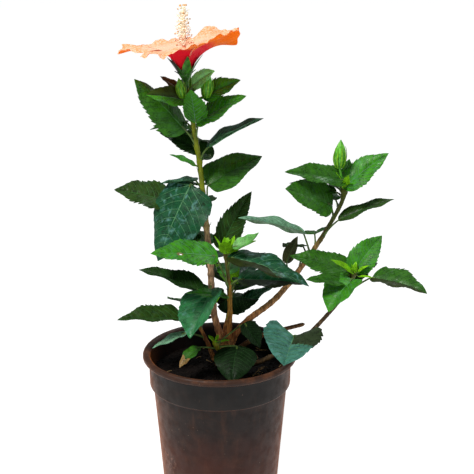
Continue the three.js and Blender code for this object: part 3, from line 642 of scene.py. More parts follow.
class BloomSettings(bpy.types.PropertyGroup):
    """The open flower"""

    ruffle: length_setting("Ruffle", "Wave of a petal's margin", 2.8)
    thickness: length_setting("Thickness", "Thickness of a petal", 0.6)
    pale: colour_setting("Pale", "Sun-bleached upper side of a petal", (0.86, 0.54, 0.38))
    # Painted light: the under side's deep orange is partly the petal's own colour and partly light shining
    # through the thin petal.
    orange: colour_setting("Orange", "Under side of a petal", (0.9, 0.16, 0.004))
    throat: colour_setting("Throat", "Foot of the petals", (0.74, 0.002, 0.02))
    cream: colour_setting("Cream", "Column and anthers", (0.98, 0.88, 0.7))
    anthers: IntProperty(name="Anthers", description="Anthers on the column", default=150, min=0)


class StageSettings(bpy.types.PropertyGroup):
    """Floor, lights and camera"""

    floor: colour_setting("Floor", "Plain pale floor", (0.25, 0.25, 0.25))
    glow: FloatProperty(name="Glow", description="Light that the floor gives off, which keeps it pale "
                        "all the way back", default=0.93, min=0)
    key: power_setting("Key light", "Power of the key light", 42)
    fill: power_setting("Fill light", "Power of the fill light", 5)
    rim: power_setting("Rim light", "Power of the light behind", 9)
    sky: FloatProperty(name="Sky", description="Strength of the even light", default=0.3, min=0)


# ------------------------------ materials


def add_node(tree, kind, values, options):
    """A new node of a material or of a geometry tree, with its options set and its sockets fed."""
    made = tree.nodes.new(kind)
    for option, value in options.items():
        setattr(made, option, value)
    for socket, value in dict(values).items():
        feed(tree, made.inputs[socket], value)
    return made


def feed(tree, socket, value):
    """Gives a socket its value: a link from another socket, or a plain value."""
    if isinstance(value, bpy.types.NodeSocket):
        tree.links.new(value, socket)
    elif socket.type == "RGBA" and len(value) == 3:
        socket.default_value = (*value, 1)
    else:
        socket.default_value = value


class Finish:
    """A procedural material that is being made. Patterns read Object coordinates in millimetres."""

    def __init__(self, name, roughness, specular):
        self.material = bpy.data.materials.new(name)
        self.material.use_nodes = True
        self.tree = self.material.node_tree
        self.shader = self.tree.nodes["Principled BSDF"]
        self.set("Roughness", roughness)
        self.set("Specular IOR Level", specular)
        self.coordinates = self.node("ShaderNodeTexCoord")

    def node(self, kind, values=(), **options):
        return add_node(self.tree, kind, values, options)

    def set(self, name, value):
        feed(self.tree, self.shader.inputs[name], value)

    def place(self, stretch=(1, 1, 1)):
        """Object coordinates in millimetres, stretched along an axis where its number is small."""
        scale = tuple(1000 * s for s in stretch)
        node = self.node("ShaderNodeMapping", {"Vector": self.coordinates.outputs["Object"], "Scale": scale})
        return node.outputs["Vector"]

    def noise(self, size, detail, rough=0.55, stretch=(1, 1, 1), distortion=0.0):
        """Soft noise whose patches measure about size millimetres."""
        values = {"Vector": self.place(stretch), "Scale": 1 / size, "Detail": detail,
                  "Roughness": rough, "Distortion": distortion}
        return self.node("ShaderNodeTexNoise", values).outputs["Fac"]

    def cells(self, size, feature="F1"):
        """Distances within cells that measure about size millimetres."""
        values = {"Vector": self.place(), "Scale": 1 / size}
        return self.node("ShaderNodeTexVoronoi", values, feature=feature).outputs["Distance"]

    def ramp(self, value, low, high, to_low=0.0, to_high=1.0):
        """A smooth rise from to_low, where the value is low, to to_high, where it is high."""
        values = {"Value": value, "From Min": low, "From Max": high, "To Min": to_low, "To Max": to_high}
        return self.node("ShaderNodeMapRange", values, interpolation_type="SMOOTHSTEP").outputs["Result"]

    def patches(self, size, detail, low, high, **pattern):
        """Soft patches from 0 to 1: noise that is cut off below low and above high."""
        return self.ramp(self.noise(size, detail, **pattern), low, high)

    def math(self, operation, one, other):
        return self.node("ShaderNodeMath", {0: one, 1: other}, operation=operation).outputs[0]

    def times(self, one, other):
        return self.math("MULTIPLY", one, other)

    def plus(self, one, other):
        return self.math("ADD", one, other)

    def mix(self, factor, one, other):
        node = self.node("ShaderNodeMix", data_type="RGBA")
        for index, value in ((0, factor), (6, one), (7, other)):
            feed(self.tree, node.inputs[index], value)
        return node.outputs[2]

    def axis(self, name, source="Object"):
        """One axis of the coordinates: metres for Object, 0 to 1 for UV."""
        values = {"Vector": self.coordinates.outputs[source]}
        return self.node("ShaderNodeSeparateXYZ", values).outputs[name]

    def colour(self, value):
        self.set("Base Color", value)

    def blotch(self, one, other, size, detail, low, high, **pattern):
        """Colours the material in soft patches that run from one colour to the other."""
        self.colour(self.mix(self.patches(size, detail, low, high, **pattern), one, other))

    def rough(self, value):
        self.set("Roughness", value)

    def bump(self, height, millimetres, strength):
        values = {"Height": height, "Distance": millimetres * MM, "Strength": strength}
        self.set("Normal", self.node("ShaderNodeBump", values).outputs["Normal"])


def shade(colour, factor):
    """The colour made lighter or darker by a factor."""
    return tuple(min(1.0, c * factor) for c in colour)


def leaf_finish(name, colour, is_upper, bloom=0.1, shine=0.24):
    """A waxy blade: patchy green, a fine net of veinlets, pale blue-white patches of painted sky reflection
    on its upper face, and gloss that breaks up.
    """
    finish = Finish(name, 0.4, shine if is_upper else 0.12)
    body = finish.mix(finish.patches(9, 4, 0.33, 0.68), shade(colour, 0.42), shade(colour, 1.7))
    net = finish.ramp(finish.cells(2.1, "DISTANCE_TO_EDGE"), 0.0, 0.2)
    pale = (1.4 * colour[0] + 0.003, 1.4 * colour[1] + 0.01, 1.4 * colour[2] + 0.003)
    tone = finish.mix(net, pale, body)
    if is_upper:
        # Painted reflection: pale blue-white patches stand in for the sky mirrored in the gloss, and bloom
        # says how strong they are.
        cloud = finish.patches(10, 4, 0.52, 0.72, rough=0.6, distortion=0.4)
        painted_reflection = finish.times(cloud, bloom)
        tone = finish.mix(painted_reflection, tone, (0.12, 0.29, 0.27))
    finish.colour(tone)
    gloss = finish.patches(11, 4, 0.36, 0.64, rough=0.6)
    smoothest, roughest = (0.3, 0.56) if is_upper else (0.5, 0.7)
    finish.rough(finish.ramp(gloss, 0, 1, smoothest, roughest))
    finish.bump(net, 0.1 if is_upper else 0.16, 0.5)
    return finish.material


# ------------------------------ meshes


class Pile:
    """Vertices and faces of many like shapes that are joined into one piece."""

    def __init__(self):
        self.vertices, self.faces, self.finishes, self.uvs, self.count = [], [], [], [], 0

    def add(self, vertices, faces, finish=0, uv=None):
        """Vertices in millimetres. finish is a material's index, for all faces or for each."""
        flat = np.asarray(vertices, float).reshape(-1, 3)
        self.vertices.append(flat * MM)
        self.faces += [tuple(int(i) + self.count for i in face) for face in faces]
        self.finishes += list(finish) if np.ndim(finish) else [finish] * len(faces)
        self.uvs.append(np.zeros((len(flat), 2)) if uv is None else np.asarray(uv, float).reshape(-1, 2))
        self.count += len(flat)

    def piece(self, name, materials, sharp=50):
        mesh = bpy.data.meshes.new(name)
        vertices, uvs = np.vstack(self.vertices), np.vstack(self.uvs)
        mesh.from_pydata(vertices.tolist(), [], self.faces)
        for material in materials:
            mesh.materials.append(material)
        mesh.polygons.foreach_set("material_index", np.array(self.finishes, np.int32))
        mesh.polygons.foreach_set("use_smooth", np.ones(len(mesh.polygons), bool))
        corner = np.zeros(len(mesh.loops), np.int32)
        mesh.loops.foreach_get("vertex_index", corner)
        layer = mesh.uv_layers.new(name="UVMap")
        layer.data.foreach_set("uv", uvs[corner].astype(np.float32).ravel())
        mesh.set_sharp_from_angle(angle=math.radians(sharp))
        mesh.validate()
        piece = bpy.data.objects.new(name, mesh)
        bpy.context.scene.collection.objects.link(piece)
        return piece


def settled(piece):
    """The mesh that a piece's modifiers make, which becomes its own."""
    made = bpy.data.meshes.new_from_object(piece.evaluated_get(bpy.context.evaluated_depsgraph_get()))
    piece.modifiers.clear()
    piece.data = made
    return made


def own(piece, slot, *nodes):
    """Says what a finished piece rides on and stands for. Its slot is not used."""
    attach(piece, "root")
    if nodes:
        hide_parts(*nodes)
    return piece


def grid_faces(rows, columns, wrap=False):
    """Quads of a grid of vertices, row by row. wrap joins the last column to the first."""
    i, j = np.meshgrid(np.arange(rows - 1), np.arange(columns if wrap else columns - 1), indexing="ij")
    k = (j + 1) % columns
    quads = np.stack([i * columns + j, i * columns + k, (i + 1) * columns + k, (i + 1) * columns + j], -1)
    return quads.reshape(-1, 4).tolist()


def capped_faces(rings, sides):
    """Faces over rings of vertices, closed at each end by a fan round one more vertex."""
    faces = grid_faces(rings, sides, wrap=True)
    count = rings * sides
    for j in range(sides):
        k = (j + 1) % sides
        faces.append((count, k, j))
        faces.append((count + 1, count - sides + j, count - sides + k))
    return faces


def tube(points, radii, sides, relief=None):
    """A closed round limb. relief(place, share, angle) gives a height over its radius."""
    points = np.asarray(points, float)
    radii = np.broadcast_to(np.asarray(radii, float), len(points))
    along = np.gradient(points, axis=0)
    along /= np.linalg.norm(along, axis=1, keepdims=True)
    side = unit(np.cross(along[0], [0.31, 0.95, 0.05]))
    rings, angles = [], np.linspace(0, 2 * math.pi, sides, endpoint=False)
    for n, (centre, direction, radius) in enumerate(zip(points, along, radii)):
        side = unit(side - direction * side.dot(direction))
        out = np.cos(angles)[:, None] * side + np.sin(angles)[:, None] * np.cross(direction, side)
        height = radius
        if relief is not None:
            height = radius + relief(centre + out * radius, n / (len(points) - 1), out)
        rings.append(centre + out * np.reshape(height, (-1, 1)))
    return np.vstack([*rings, points[:1], points[-1:]]), capped_faces(len(points), sides)


def sheet(upper, under, finish=None, kept=None):
    """A thin closed sheet from two grids of points. finish is the material of each cell's upper
    face, and its under face has the next one. kept is false for the cells of a hole."""
    rows, columns = upper.shape[:2]
    finish = np.zeros((rows - 1, columns - 1), int) if finish is None else finish
    kept = np.ones((rows - 1, columns - 1), bool) if kept is None else kept
    shift = rows * columns
    near = np.arange(shift).reshape(rows, columns)
    corners = (near[:-1, :-1], near[:-1, 1:], near[1:, 1:], near[1:, :-1])
    top = np.stack(corners, -1)
    faces = [top[kept], (top + shift)[kept][:, ::-1]]
    finishes = [finish[kept], finish[kept] + 1]
    padded = np.pad(kept, 1)
    beyond = (padded[:-2, 1:-1], padded[1:-1, 2:], padded[2:, 1:-1], padded[1:-1, :-2])
    for n, neighbour in enumerate(beyond):
        bare = kept & ~neighbour
        one, other = corners[n][bare], corners[(n + 1) % 4][bare]
        faces.append(np.stack([other, one, one + shift, other + shift], -1))
        finishes.append(finish[bare])
    vertices = np.vstack([upper.reshape(-1, 3), under.reshape(-1, 3)])
    return vertices, np.vstack(faces).tolist(), np.concatenate(finishes).tolist()


# ------------------------------ geometry nodes


class Tree:
    """A tree of geometry nodes with named inputs, that turns a mesh into a finished plain mesh."""

    def __init__(self, name, inputs):
        self.group = bpy.data.node_groups.new(name, "GeometryNodeTree")
        face = self.group.interface
        face.new_socket(name="Geometry", in_out="INPUT", socket_type="NodeSocketGeometry")
        for label, kind in inputs.items():
            face.new_socket(name=label, in_out="INPUT", socket_type=kind)
        face.new_socket(name="Geometry", in_out="OUTPUT", socket_type="NodeSocketGeometry")
        self.source = self.group.nodes.new("NodeGroupInput")
        self.sink = self.group.nodes.new("NodeGroupOutput")

    def node(self, kind, values=(), **options):
        return add_node(self.group, kind, values, options)

    def given(self, name):
        return self.source.outputs[name]

    def close(self, geometry):
        """Ends the tree with real meshes that carry their material."""
        real = self.node("GeometryNodeRealizeInstances", {"Geometry": geometry})
        smooth = self.node("GeometryNodeSetShadeSmooth", {"Geometry": real.outputs[0]})
        done = self.node("GeometryNodeSetMaterial",
                         {"Geometry": smooth.outputs[0], "Material": self.given("Material")})
        self.group.links.new(done.outputs[0], self.sink.inputs[0])
        return self

    def grow(self, name, mesh, **inputs):
        """The piece that the tree makes from a mesh."""
        piece = bpy.data.objects.new(name, mesh)
        bpy.context.scene.collection.objects.link(piece)
        modifier = piece.modifiers.new("Grow", "NODES")
        modifier.node_group = self.group
        for socket in self.group.interface.items_tree:
            if socket.in_out == "INPUT" and socket.name in inputs:
                modifier[socket.identifier] = inputs[socket.name]
        made = settled(piece)
        made.name = name
        if not made.polygons:
            raise RuntimeError(f"{name} came out with no faces")
        return piece


def sweep_tree():
    """Round strands along poly-lines, as thick as each point's attribute says."""
    tree = Tree("strands", {"Sides": "NodeSocketInt", "Material": "NodeSocketMaterial"})
    line = tree.node("GeometryNodeMeshToCurve", {"Mesh": tree.given("Geometry")})
    ring = tree.node("GeometryNodeCurvePrimitiveCircle", {"Resolution": tree.given("Sides"), "Radius": 1.0})
    thick = tree.node("GeometryNodeInputNamedAttribute", {"Name": "thick"}, data_type="FLOAT")
    values = {"Curve": line.outputs[0], "Profile Curve": ring.outputs[0], "Scale": thick.outputs[0],
              "Fill Caps": True}
    return tree.close(tree.node("GeometryNodeCurveToMesh", values).outputs[0])


def scatter_tree():
    """Uneven lumps scattered over a surface, each turned and sized at random."""
    tree = Tree("lumps", {"Density": "NodeSocketFloat", "Radius": "NodeSocketFloat",
                          "Flatness": "NodeSocketFloat", "Uneven": "NodeSocketFloat",
                          "Seed": "NodeSocketInt", "Material": "NodeSocketMaterial"})
    seed = tree.given("Seed")
    spots = tree.node("GeometryNodeDistributePointsOnFaces",
                      {"Mesh": tree.given("Geometry"), "Density": tree.given("Density"), "Seed": seed})
    ball = tree.node("GeometryNodeMeshIcoSphere", {"Radius": tree.given("Radius"), "Subdivisions": 2})

    def random_vector(least, most):
        values = {"Min": least, "Max": most, "Seed": seed}
        return tree.node("FunctionNodeRandomValue", values, data_type="FLOAT_VECTOR").outputs[0]

    turn = tree.node("FunctionNodeEulerToRotation", {"Euler": random_vector((0, 0, 0), (0.9, 0.9, 6.28))})
    turns = {"Rotation": spots.outputs["Rotation"], "Rotate By": turn.outputs[0]}
    spin = tree.node("FunctionNodeRotateRotation", turns, rotation_space="LOCAL")
    size = random_vector((0.5, 0.4, 0.35), (1.9, 1.3, 1.0))
    flat = tree.node("ShaderNodeCombineXYZ", {"X": 1.0, "Y": 1.0, "Z": tree.given("Flatness")})
    scale = tree.node("ShaderNodeVectorMath", {0: size, 1: flat.outputs[0]}, operation="MULTIPLY")
    placed = tree.node("GeometryNodeInstanceOnPoints",
                       {"Points": spots.outputs["Points"], "Instance": ball.outputs["Mesh"],
                        "Rotation": spin.outputs[0], "Scale": scale.outputs[0]})
    real = tree.node("GeometryNodeRealizeInstances", {"Geometry": placed.outputs[0]})
    where = tree.node("GeometryNodeInputPosition")
    rough = tree.node("ShaderNodeTexNoise", {"Vector": where.outputs[0], "Scale": 900.0, "Detail": 2.0})
    centred = tree.node("ShaderNodeVectorMath", {0: rough.outputs["Color"], 1: (0.5, 0.5, 0.5)},
                        operation="SUBTRACT")
    push = tree.node("ShaderNodeVectorMath", {0: centred.outputs[0], "Scale": tree.given("Uneven")},
                     operation="SCALE")
    moved = tree.node("GeometryNodeSetPosition", {"Geometry": real.outputs[0], "Offset": push.outputs[0]})
    return tree.close(moved.outputs[0])


def strands(name, lines, sides, material):
    """One piece of many strands. lines holds (points in millimetres, radii in millimetres)."""
    vertices, edges, thick = [], [], []
    for points, radii in lines:
        start = len(vertices)
        vertices += (np.asarray(points, float) * MM).tolist()
        thick += (np.broadcast_to(np.asarray(radii, float), len(points)) * MM).tolist()
        edges += [(start + i, start + i + 1) for i in range(len(points) - 1)]
    mesh = bpy.data.meshes.new(name)
    mesh.from_pydata(vertices, edges, [])
    mesh.attributes.new("thick", "FLOAT", "POINT").data.foreach_set("value", np.array(thick, np.float32))
    return sweep_tree().grow(name, mesh, Sides=sides, Material=material)


# ------------------------------ pot and soil


def rounded(profile, radius, steps=5):
    """A profile of (radius, height) points whose inner corners are turned into arcs."""
    points = [np.array(p, float) for p in profile]
    made = [points[0]]
    for before, here, after in zip(points, points[1:], points[2:]):
        to_before, to_after = before - here, after - here
        cut = min(radius, np.linalg.norm(to_before) * 0.45, np.linalg.norm(to_after) * 0.45)
        start, end = here + unit(to_before) * cut, here + unit(to_after) * cut
        for t in np.linspace(0, 1, steps):
            made.append((1 - t) ** 2 * start + 2 * t * (1 - t) * here + t**2 * end)
    return np.array([*made, points[-1]])


def lathe(profile, facets, wobble=None):
    """A closed turned shape from a profile whose first and last points lie on the axis."""
    rows = profile[1:-1]
    angles = np.linspace(0, 2 * math.pi, facets, endpoint=False)
    radius, height = rows[:, 0][:, None], rows[:, 1][:, None]
    if wobble is not None:
        radius = radius + wobble(radius, height, angles[None, :])
    places = np.stack([radius * np.cos(angles), radius * np.sin(angles), height + 0 * angles], -1)
    ends = np.array([[0, 0, profile[0][1]], [0, 0, profile[-1][1]]])
    return np.vstack([places.reshape(-1, 3), ends]), capped_faces(len(rows), facets)


def subdivided(profile, longest):
    """The same profile with no step longer than a length."""
    made = [profile[0]]
    for one, other in zip(profile, profile[1:]):
        count = max(1, math.ceil(np.linalg.norm(other - one) / longest))
        made += [one + (other - one) * (n + 1) / count for n in range(count)]
    return np.array(made)


# The middle of the scratches on the pot's wall, in metres.
SCUFF_PLACE = (-0.062, -0.044, 0.052)


def pot_finish(settings):
    """Scuffed nursery plastic: faded where it is rubbed, with dust, runs and a few scratches. Its rim's wear
    is painted lighter at the front than at the back, and an orange sheen is painted at its flanks.
    """
    finish = Finish("pot_plastic", 0.5, 0.22)
    height = finish.axis("Z")
    cloud = finish.times(finish.noise(30, 4), 0.09)
    low = finish.ramp(finish.plus(height, cloud), 0.18, 0.06)
    body = finish.mix(low, settings.plastic, (0.052, 0.012, 0.006))
    runs = finish.patches(9, 5, 0.5, 0.76, stretch=(1, 1, 0.2))
    faded = finish.mix(finish.times(runs, 0.12), body, settings.wear)
    patches = finish.patches(22, 6, 0.48, 0.7, rough=0.7)
    # Painted light: the rim's wear and pale lip are strongest at the front and fade to a quarter at the back,
    # painted shade on the far rim.
    lit = finish.ramp(finish.axis("Y"), 0.05, -0.02, 0.25, 1.0)
    rim = finish.times(finish.ramp(height, 0.181, 0.188), lit)
    rubbed_and_lit = finish.times(patches, finish.plus(finish.times(rim, 0.4), 0.1))
    worn = finish.mix(rubbed_and_lit, faded, settings.wear)
    lit_lip = finish.mix(finish.times(rim, 0.18), worn, settings.wear)
    collar = finish.times(finish.ramp(height, 0.1455, 0.148), finish.ramp(height, 0.183, 0.1815))
    dark = finish.mix(finish.times(collar, 0.75), lit_lip, (0.006, 0.0065, 0.006))
    specks = finish.ramp(finish.cells(6.5), 0.13, 0.06)
    grit = finish.times(specks, finish.patches(30, 2, 0.54, 0.62))
    dust = finish.times(finish.patches(3, 6, 0.55, 0.8, rough=0.8), 0.22)
    dusty = finish.mix(finish.math("MAXIMUM", grit, dust), dark, settings.dust)
    places = {0: finish.coordinates.outputs["Object"], 1: SCUFF_PLACE}
    away = finish.node("ShaderNodeVectorMath", places, operation="DISTANCE").outputs["Value"]
    marks = finish.patches(1.6, 3, 0.55, 0.64, stretch=(1, 0.3, 0.3), distortion=0.4)
    scuff = finish.times(marks, finish.ramp(away, 0.02, 0.009))
    finish.colour(finish.mix(scuff, dusty, (0.16, 0.07, 0.045)))
    finish.rough(finish.ramp(finish.noise(12, 5), 0.3, 0.75, 0.42, 0.66))
    fine = finish.noise(0.8, 4, 0.7)
    lines = finish.noise(2.2, 3, stretch=(1, 1, 0.03))
    finish.bump(finish.plus(fine, finish.times(lines, 0.5)), 0.12, 0.6)
    # Painted light: an orange sheen at grazing angles stands in for light glowing through the pot's thin
    # flanks.
    finish.set("Sheen Weight", 0.4)
    finish.set("Sheen Roughness", 0.32)
    finish.set("Sheen Tint", (0.95, 0.26, 0.05))
    return finish.material


class HIBISCUS_OT_pot(bpy.types.Operator):
    """Makes the nursery pot: rolled rim, stepped collar, tapered wall and drain holes"""

    bl_idname = "hibiscus.pot"
    bl_label = "Nursery pot"

    def execute(self, context):
        settings = context.scene.hibiscus_pot

        def wobble(radius, height, angle):
            dent = 0.35 * np.sin(2 * angle + 0.7) + 0.22 * np.sin(3 * angle + height * 0.02)
            ribs = 0.12 * np.sin(46 * angle) * fade(height, COLLAR_TOP - 0.5, COLLAR_TOP + 1)
            return (dent + ribs) * fade(height, 20, 150)

        pile = Pile()
        pile.add(*lathe(subdivided(rounded(POT_SECTION, 1.7), 9), settings.facets, wobble))
        pot = pile.piece("nursery_pot", [pot_finish(settings)], sharp=38)
        drills = Pile()
        for i in range(DRAIN_HOLES):
            spot = DRAIN_RING * heading(360 * i / DRAIN_HOLES, 0)
            drills.add(*tube([spot - 6 * UP, spot, spot + 8 * UP], DRAIN_RADIUS, 28))
        drill = drills.piece("drill", [])
        cut = pot.modifiers.new("Drain holes", "BOOLEAN")
        cut.object, cut.operation, cut.solver = drill, "DIFFERENCE", "EXACT"
        settled(pot)
        bpy.data.objects.remove(drill)
        own(pot, "pot", "pot")
        return {"FINISHED"}


def soil_finish(name, colour, light):
    """Damp, crumbly soil whose lighter patches are light times its colour."""
    finish = Finish(name, 0.9, 0.08)
    finish.blotch(shade(colour, 0.5), shade(colour, light), 5, 6, 0.35, 0.7, rough=0.7)
    finish.rough(finish.ramp(finish.noise(3, 3), 0.3, 0.7, 0.62, 0.95))
    finish.bump(finish.noise(0.9, 6, 0.75), 0.6, 0.9)
    return finish.material


class HIBISCUS_OT_soil(bpy.types.Operator):
    """Fills the pot with crumbly potting mix, with scraps of straw and twig on it"""

    bl_idname = "hibiscus.soil"
    bl_label = "Potting mix"

    def execute(self, context):
        settings = context.scene.hibiscus_pot
        top = [(SOIL_RADIUS * (1 - t), SOIL_SURFACE + SOIL_RISE * fade(t, 0, 0.7))
               for t in np.linspace(0, 1, 48)]
        vertices, faces = lathe(np.array([*SOIL_SECTION, *top]), 160)
        spread = np.linalg.norm(vertices[:, :2], axis=1)
        is_top = (vertices[:, 2] > SOIL_SURFACE - 0.6) & (spread < SOIL_RADIUS - 0.6)
        lumps = 2.2 * grain(vertices / 14, 1, 3) + 1.1 * grain(vertices / 5, 1, 5)
        vertices[:, 2] += np.where(is_top, lumps * fade(spread, 88, 80), 0)
        pile = Pile()
        pile.add(vertices, faces)
        mix = soil_finish("potting_mix", settings.mix, 2.2)
        own(pile.piece("potting_mix", [mix], sharp=80), "soil", "soil")

        upper = Pile()
        upper.add(vertices, [face for face in faces if all(is_top[i] for i in face)])
        patch = upper.piece("patch", [])
        mesh = patch.data
        bpy.data.objects.remove(patch)
        crumbs = scatter_tree().grow(
            "soil_crumbs", mesh, Density=settings.crumbs, Radius=settings.crumb, Flatness=0.8,
            Uneven=0.0016, Seed=4, Material=soil_finish("soil_crumb", shade(settings.mix, 1.5), 2.6))
        own(crumbs, "soil")
        self.straw()
        return {"FINISHED"}

    def straw(self):
        """One thick scrap in front of the crown, and thin ones all round it."""
        random = Seeded(19)
        scraps = [(smooth_path([(42, -31, 166), (49, -20, 168.5), (56, -11, 168)], 6), 0.8)]
        for _ in range(30):
            turn, away = random() * 2 * math.pi, 24 + 58 * math.sqrt(random())
            spot = np.array([away * math.cos(turn), away * math.sin(turn), CROWN_FOOT + 0.3 + random()])
            half = heading(random() * 360, random.between(-6, 12)) * random.between(3, 9)
            bow = spot + heading(random() * 360, 30) * 1.2
            scraps.append((smooth_path([spot - half, bow, spot + half], 4), random.between(0.25, 0.7)))
        straw = Finish("straw", 0.8, 0.3)
        straw.blotch((0.06, 0.03, 0.012), (0.3, 0.19, 0.08), 6, 3, 0.35, 0.65)
        straw.bump(straw.noise(0.7, 4, stretch=(1, 0.2, 1)), 0.2, 0.8)
        own(strands("straw_and_twigs", scraps, 7, straw.material), "straw")


# ------------------------------ limbs


def bark_finish(name, old, green, foot, heights):
    """Bark that turns from rough brown to smooth green between two heights in millimetres. Its foot is
    warmer, and painted near-black close to the soil as painted shade."""
    finish = Finish(name, 0.62, 0.2)
    streak = finish.patches(2.6, 5, 0.34, 0.7, rough=0.65, stretch=(1, 1, 0.22))
    brown = finish.mix(streak, shade(old, 0.42), shade(old, 1.7))
    grey = finish.patches(6, 4, 0.56, 0.72, rough=0.7)
    flaky = finish.mix(finish.times(grey, 0.5), brown, (0.34, 0.24, 0.15))
    leafy = finish.mix(streak, shade(green, 0.7), shade(green, 1.4))
    height = finish.plus(finish.axis("Z"), finish.times(finish.noise(9, 4), 0.05))
    turn = finish.ramp(height, *(up * MM + 0.025 for up in heights))
    ragged_height = finish.plus(finish.axis("Z"), finish.times(finish.noise(5, 4), 0.014))
    warmth = finish.times(finish.ramp(ragged_height, 0.268, 0.22), 0.75)
    flakes = finish.mix(streak, shade(foot, 0.3), foot)
    warmed = finish.mix(warmth, flaky, flakes)
    # Painted shade: the bark turns near-black close to the soil.
    shaded_near_soil = finish.mix(finish.ramp(ragged_height, 0.176, 0.186), (0.012, 0.006, 0.003), warmed)
    finish.colour(finish.mix(turn, shaded_near_soil, leafy))
    finish.rough(finish.ramp(turn, 0, 1, 0.72, 0.42))
    finish.bump(finish.noise(1.1, 6, 0.7, stretch=(1, 1, 0.4)), 0.35, 0.6)
    return finish.material


# The length of limb for each old scar, and how far from its middle a joint shapes the bark.
SCAR_SPACING = 26
JOINT_REACH = 9


class HIBISCUS_OT_limbs(bpy.types.Operator):
    """Grows each limb as a tapering tube with furrows, swollen joints and leaf scars"""

    bl_idname = "hibiscus.limbs"
    bl_label = "Limbs"

    def execute(self, context):
        settings = context.scene.hibiscus_stems
        leaves = grow()
        for number, (name, limb) in enumerate(FINISHED_LIMBS.items()):
            joints = [(limb.share_at(item["up"]), item["stalk"][0]) for stem, item in leaves if stem == name]
            joints += self.scars(limb, number)
            self.limb(settings, name, limb, joints, number)
        return {"FINISHED"}

    def scars(self, limb, number):
        """Old leaf scars on the bare foot of a limb, a golden turn apart."""
        count = int(limb.length / SCAR_SPACING)
        return [(0.1 + 0.45 * i / max(count, 1), GOLDEN_TURN * i + 40 * number) for i in range(count)]

    def limb(self, settings, name, limb, joints, number):
        """The bark of one limb. The stub's end is rounded off."""
        rings = math.ceil(limb.length * MM / settings.ring)
        shares = np.linspace(0, 1, rings)
        points = limb.at(shares)
        green = fade(points[:, 2], *GREEN_FROM[name])
        depth = settings.relief / MM

        def relief(places, share, out):
            old = 1 - float(np.interp(share, shares, green)) * 0.75
            furrow = grain(places * (1, 1, 0.3), 0.55, number) * 0.7 + grain(places, 0.9, number + 3) * 0.5
            height = depth * old * furrow
            for where, compass in joints:
                away = (share - where) * limb.length
                if abs(away) > JOINT_REACH:
                    continue
                facing = np.clip(out @ heading(compass, 0), 0, 1)
                swell = math.exp(-((away + 1) / 3.2) ** 2)
                scar = math.exp(-((away + 2.6) / 0.8) ** 2)
                height = height + swell * (0.25 + 0.75 * facing**2) - 0.3 * scar * facing
            return height

        radii = limb.radius(shares)
        if name == "stub":
            radii = radii * np.sqrt(np.clip((1.004 - shares) / 0.03, 0, 1))
        pile = Pile()
        pile.add(*tube(points, np.maximum(radii, 0.4), settings.sides, relief))
        old = OLD_BARK.get(name, settings.old_bark)
        foot = shade(old, 1.5) if name in ("stub", "lowRight") else settings.foot_bark
        young = YOUNG_BARK.get(name, settings.green_bark)
        bark = bark_finish(f"bark_{STEM_NODES.get(name, name)}", old, young, foot, GREEN_FROM[name])
        node = [STEM_NODES[name]] if name in STEM_NODES else []
        piece = pile.piece(f"{STEM_NODES.get(name, name + '_shoot')}_bark", [bark], sharp=70)
        own(piece, "bark" if node else "green_bark", *node)


class HIBISCUS_OT_crown(bpy.types.Operator):
    """Grows the knobbly crown, where every limb starts, down to a flat foot on the soil"""

    bl_idname = "hibiscus.crown"
    bl_label = "Crown"

    def execute(self, context):
        settings = context.scene.hibiscus_stems
        bark = bark_finish("bark_crown", settings.crown_bark, settings.green_bark, settings.crown_bark,
                           NEVER_GREEN)
        crown = self.knobbly().piece("crown_bark", [bark])
        fuse = crown.modifiers.new("Fuse", "REMESH")
        fuse.mode, fuse.voxel_size, fuse.use_smooth_shade = "VOXEL", 0.0008, True
        ease = crown.modifiers.new("Ease", "SMOOTH")
        ease.factor, ease.iterations = 0.5, 4
        self.flake(settled(crown))
        own(crown, "bark", "crown")
        return {"FINISHED"}

    def knobbly(self):
        """The flared middle, the first stretch of each limb, and knobs round them, still apart."""
        pile, random = Pile(), Seeded(31)
        share = np.linspace(0, 1, 30)
        ups = np.linspace(CROWN_FOOT, CROWN_TOP, 30)
        flare = 7 + 8 * (1 - share) ** 2.2

        def lobes(places, share, out):
            turn = np.arctan2(out[:, 1], out[:, 0])
            return 0.16 * (1 - share) * np.interp(share, [0, 1], [15, 7]) * np.cos(5 * turn)

        pile.add(*tube(np.stack([CROWN_RIGHT + 0 * ups, 0 * ups, ups], -1), flare, 40, lobes))
        for name, limb in FINISHED_LIMBS.items():
            end = limb.share_at(CROWN_ENDS[name] - 8)
            shares = np.linspace(0, end, 14)
            pile.add(*tube(limb.at(shares), limb.radius(shares) + 0.9 * (1 - shares / end) ** 1.5, 16))
        for _ in range(17):
            turn, up = random() * 360, random.between(168, 194)
            away = 7 + 6 * (1 - (up - 163) / 36) ** 1.6
            spot = np.array([CROWN_RIGHT, 0, up]) + heading(turn, 0) * away
            knob = random.between(1.8, 3.4)
            steps = np.linspace(-1, 1, 9)
            bulge = knob * np.sqrt(np.clip(1 - steps**2, 0.02, 1))
            pile.add(*tube(spot + steps[:, None] * heading(turn, 50) * knob, bulge, 12))
        return pile

    def flake(self, made):
        """Roughens the bark of the fused mesh, and keeps its foot flat on the soil."""
        count = len(made.vertices)
        places, normals = np.zeros(count * 3, np.float32), np.zeros(count * 3, np.float32)
        made.vertices.foreach_get("co", places)
        made.vertices.foreach_get("normal", normals)
        places, normals = places.reshape(-1, 3) / MM, normals.reshape(-1, 3)
        flakes = 0.9 * np.abs(grain(places * (1, 1, 0.55), 0.3, 7)) + 0.5 * grain(places, 0.8, 9)
        rooted = fade(places[:, 2], CROWN_FOOT, CROWN_FOOT + 2.2)
        places += normals * (flakes * rooted)[:, None]
        places[:, 2] = np.maximum(places[:, 2], CROWN_FOOT)
        made.vertices.foreach_set("co", (places * MM).astype(np.float32).ravel())
        made.update()


# ------------------------------ foliage

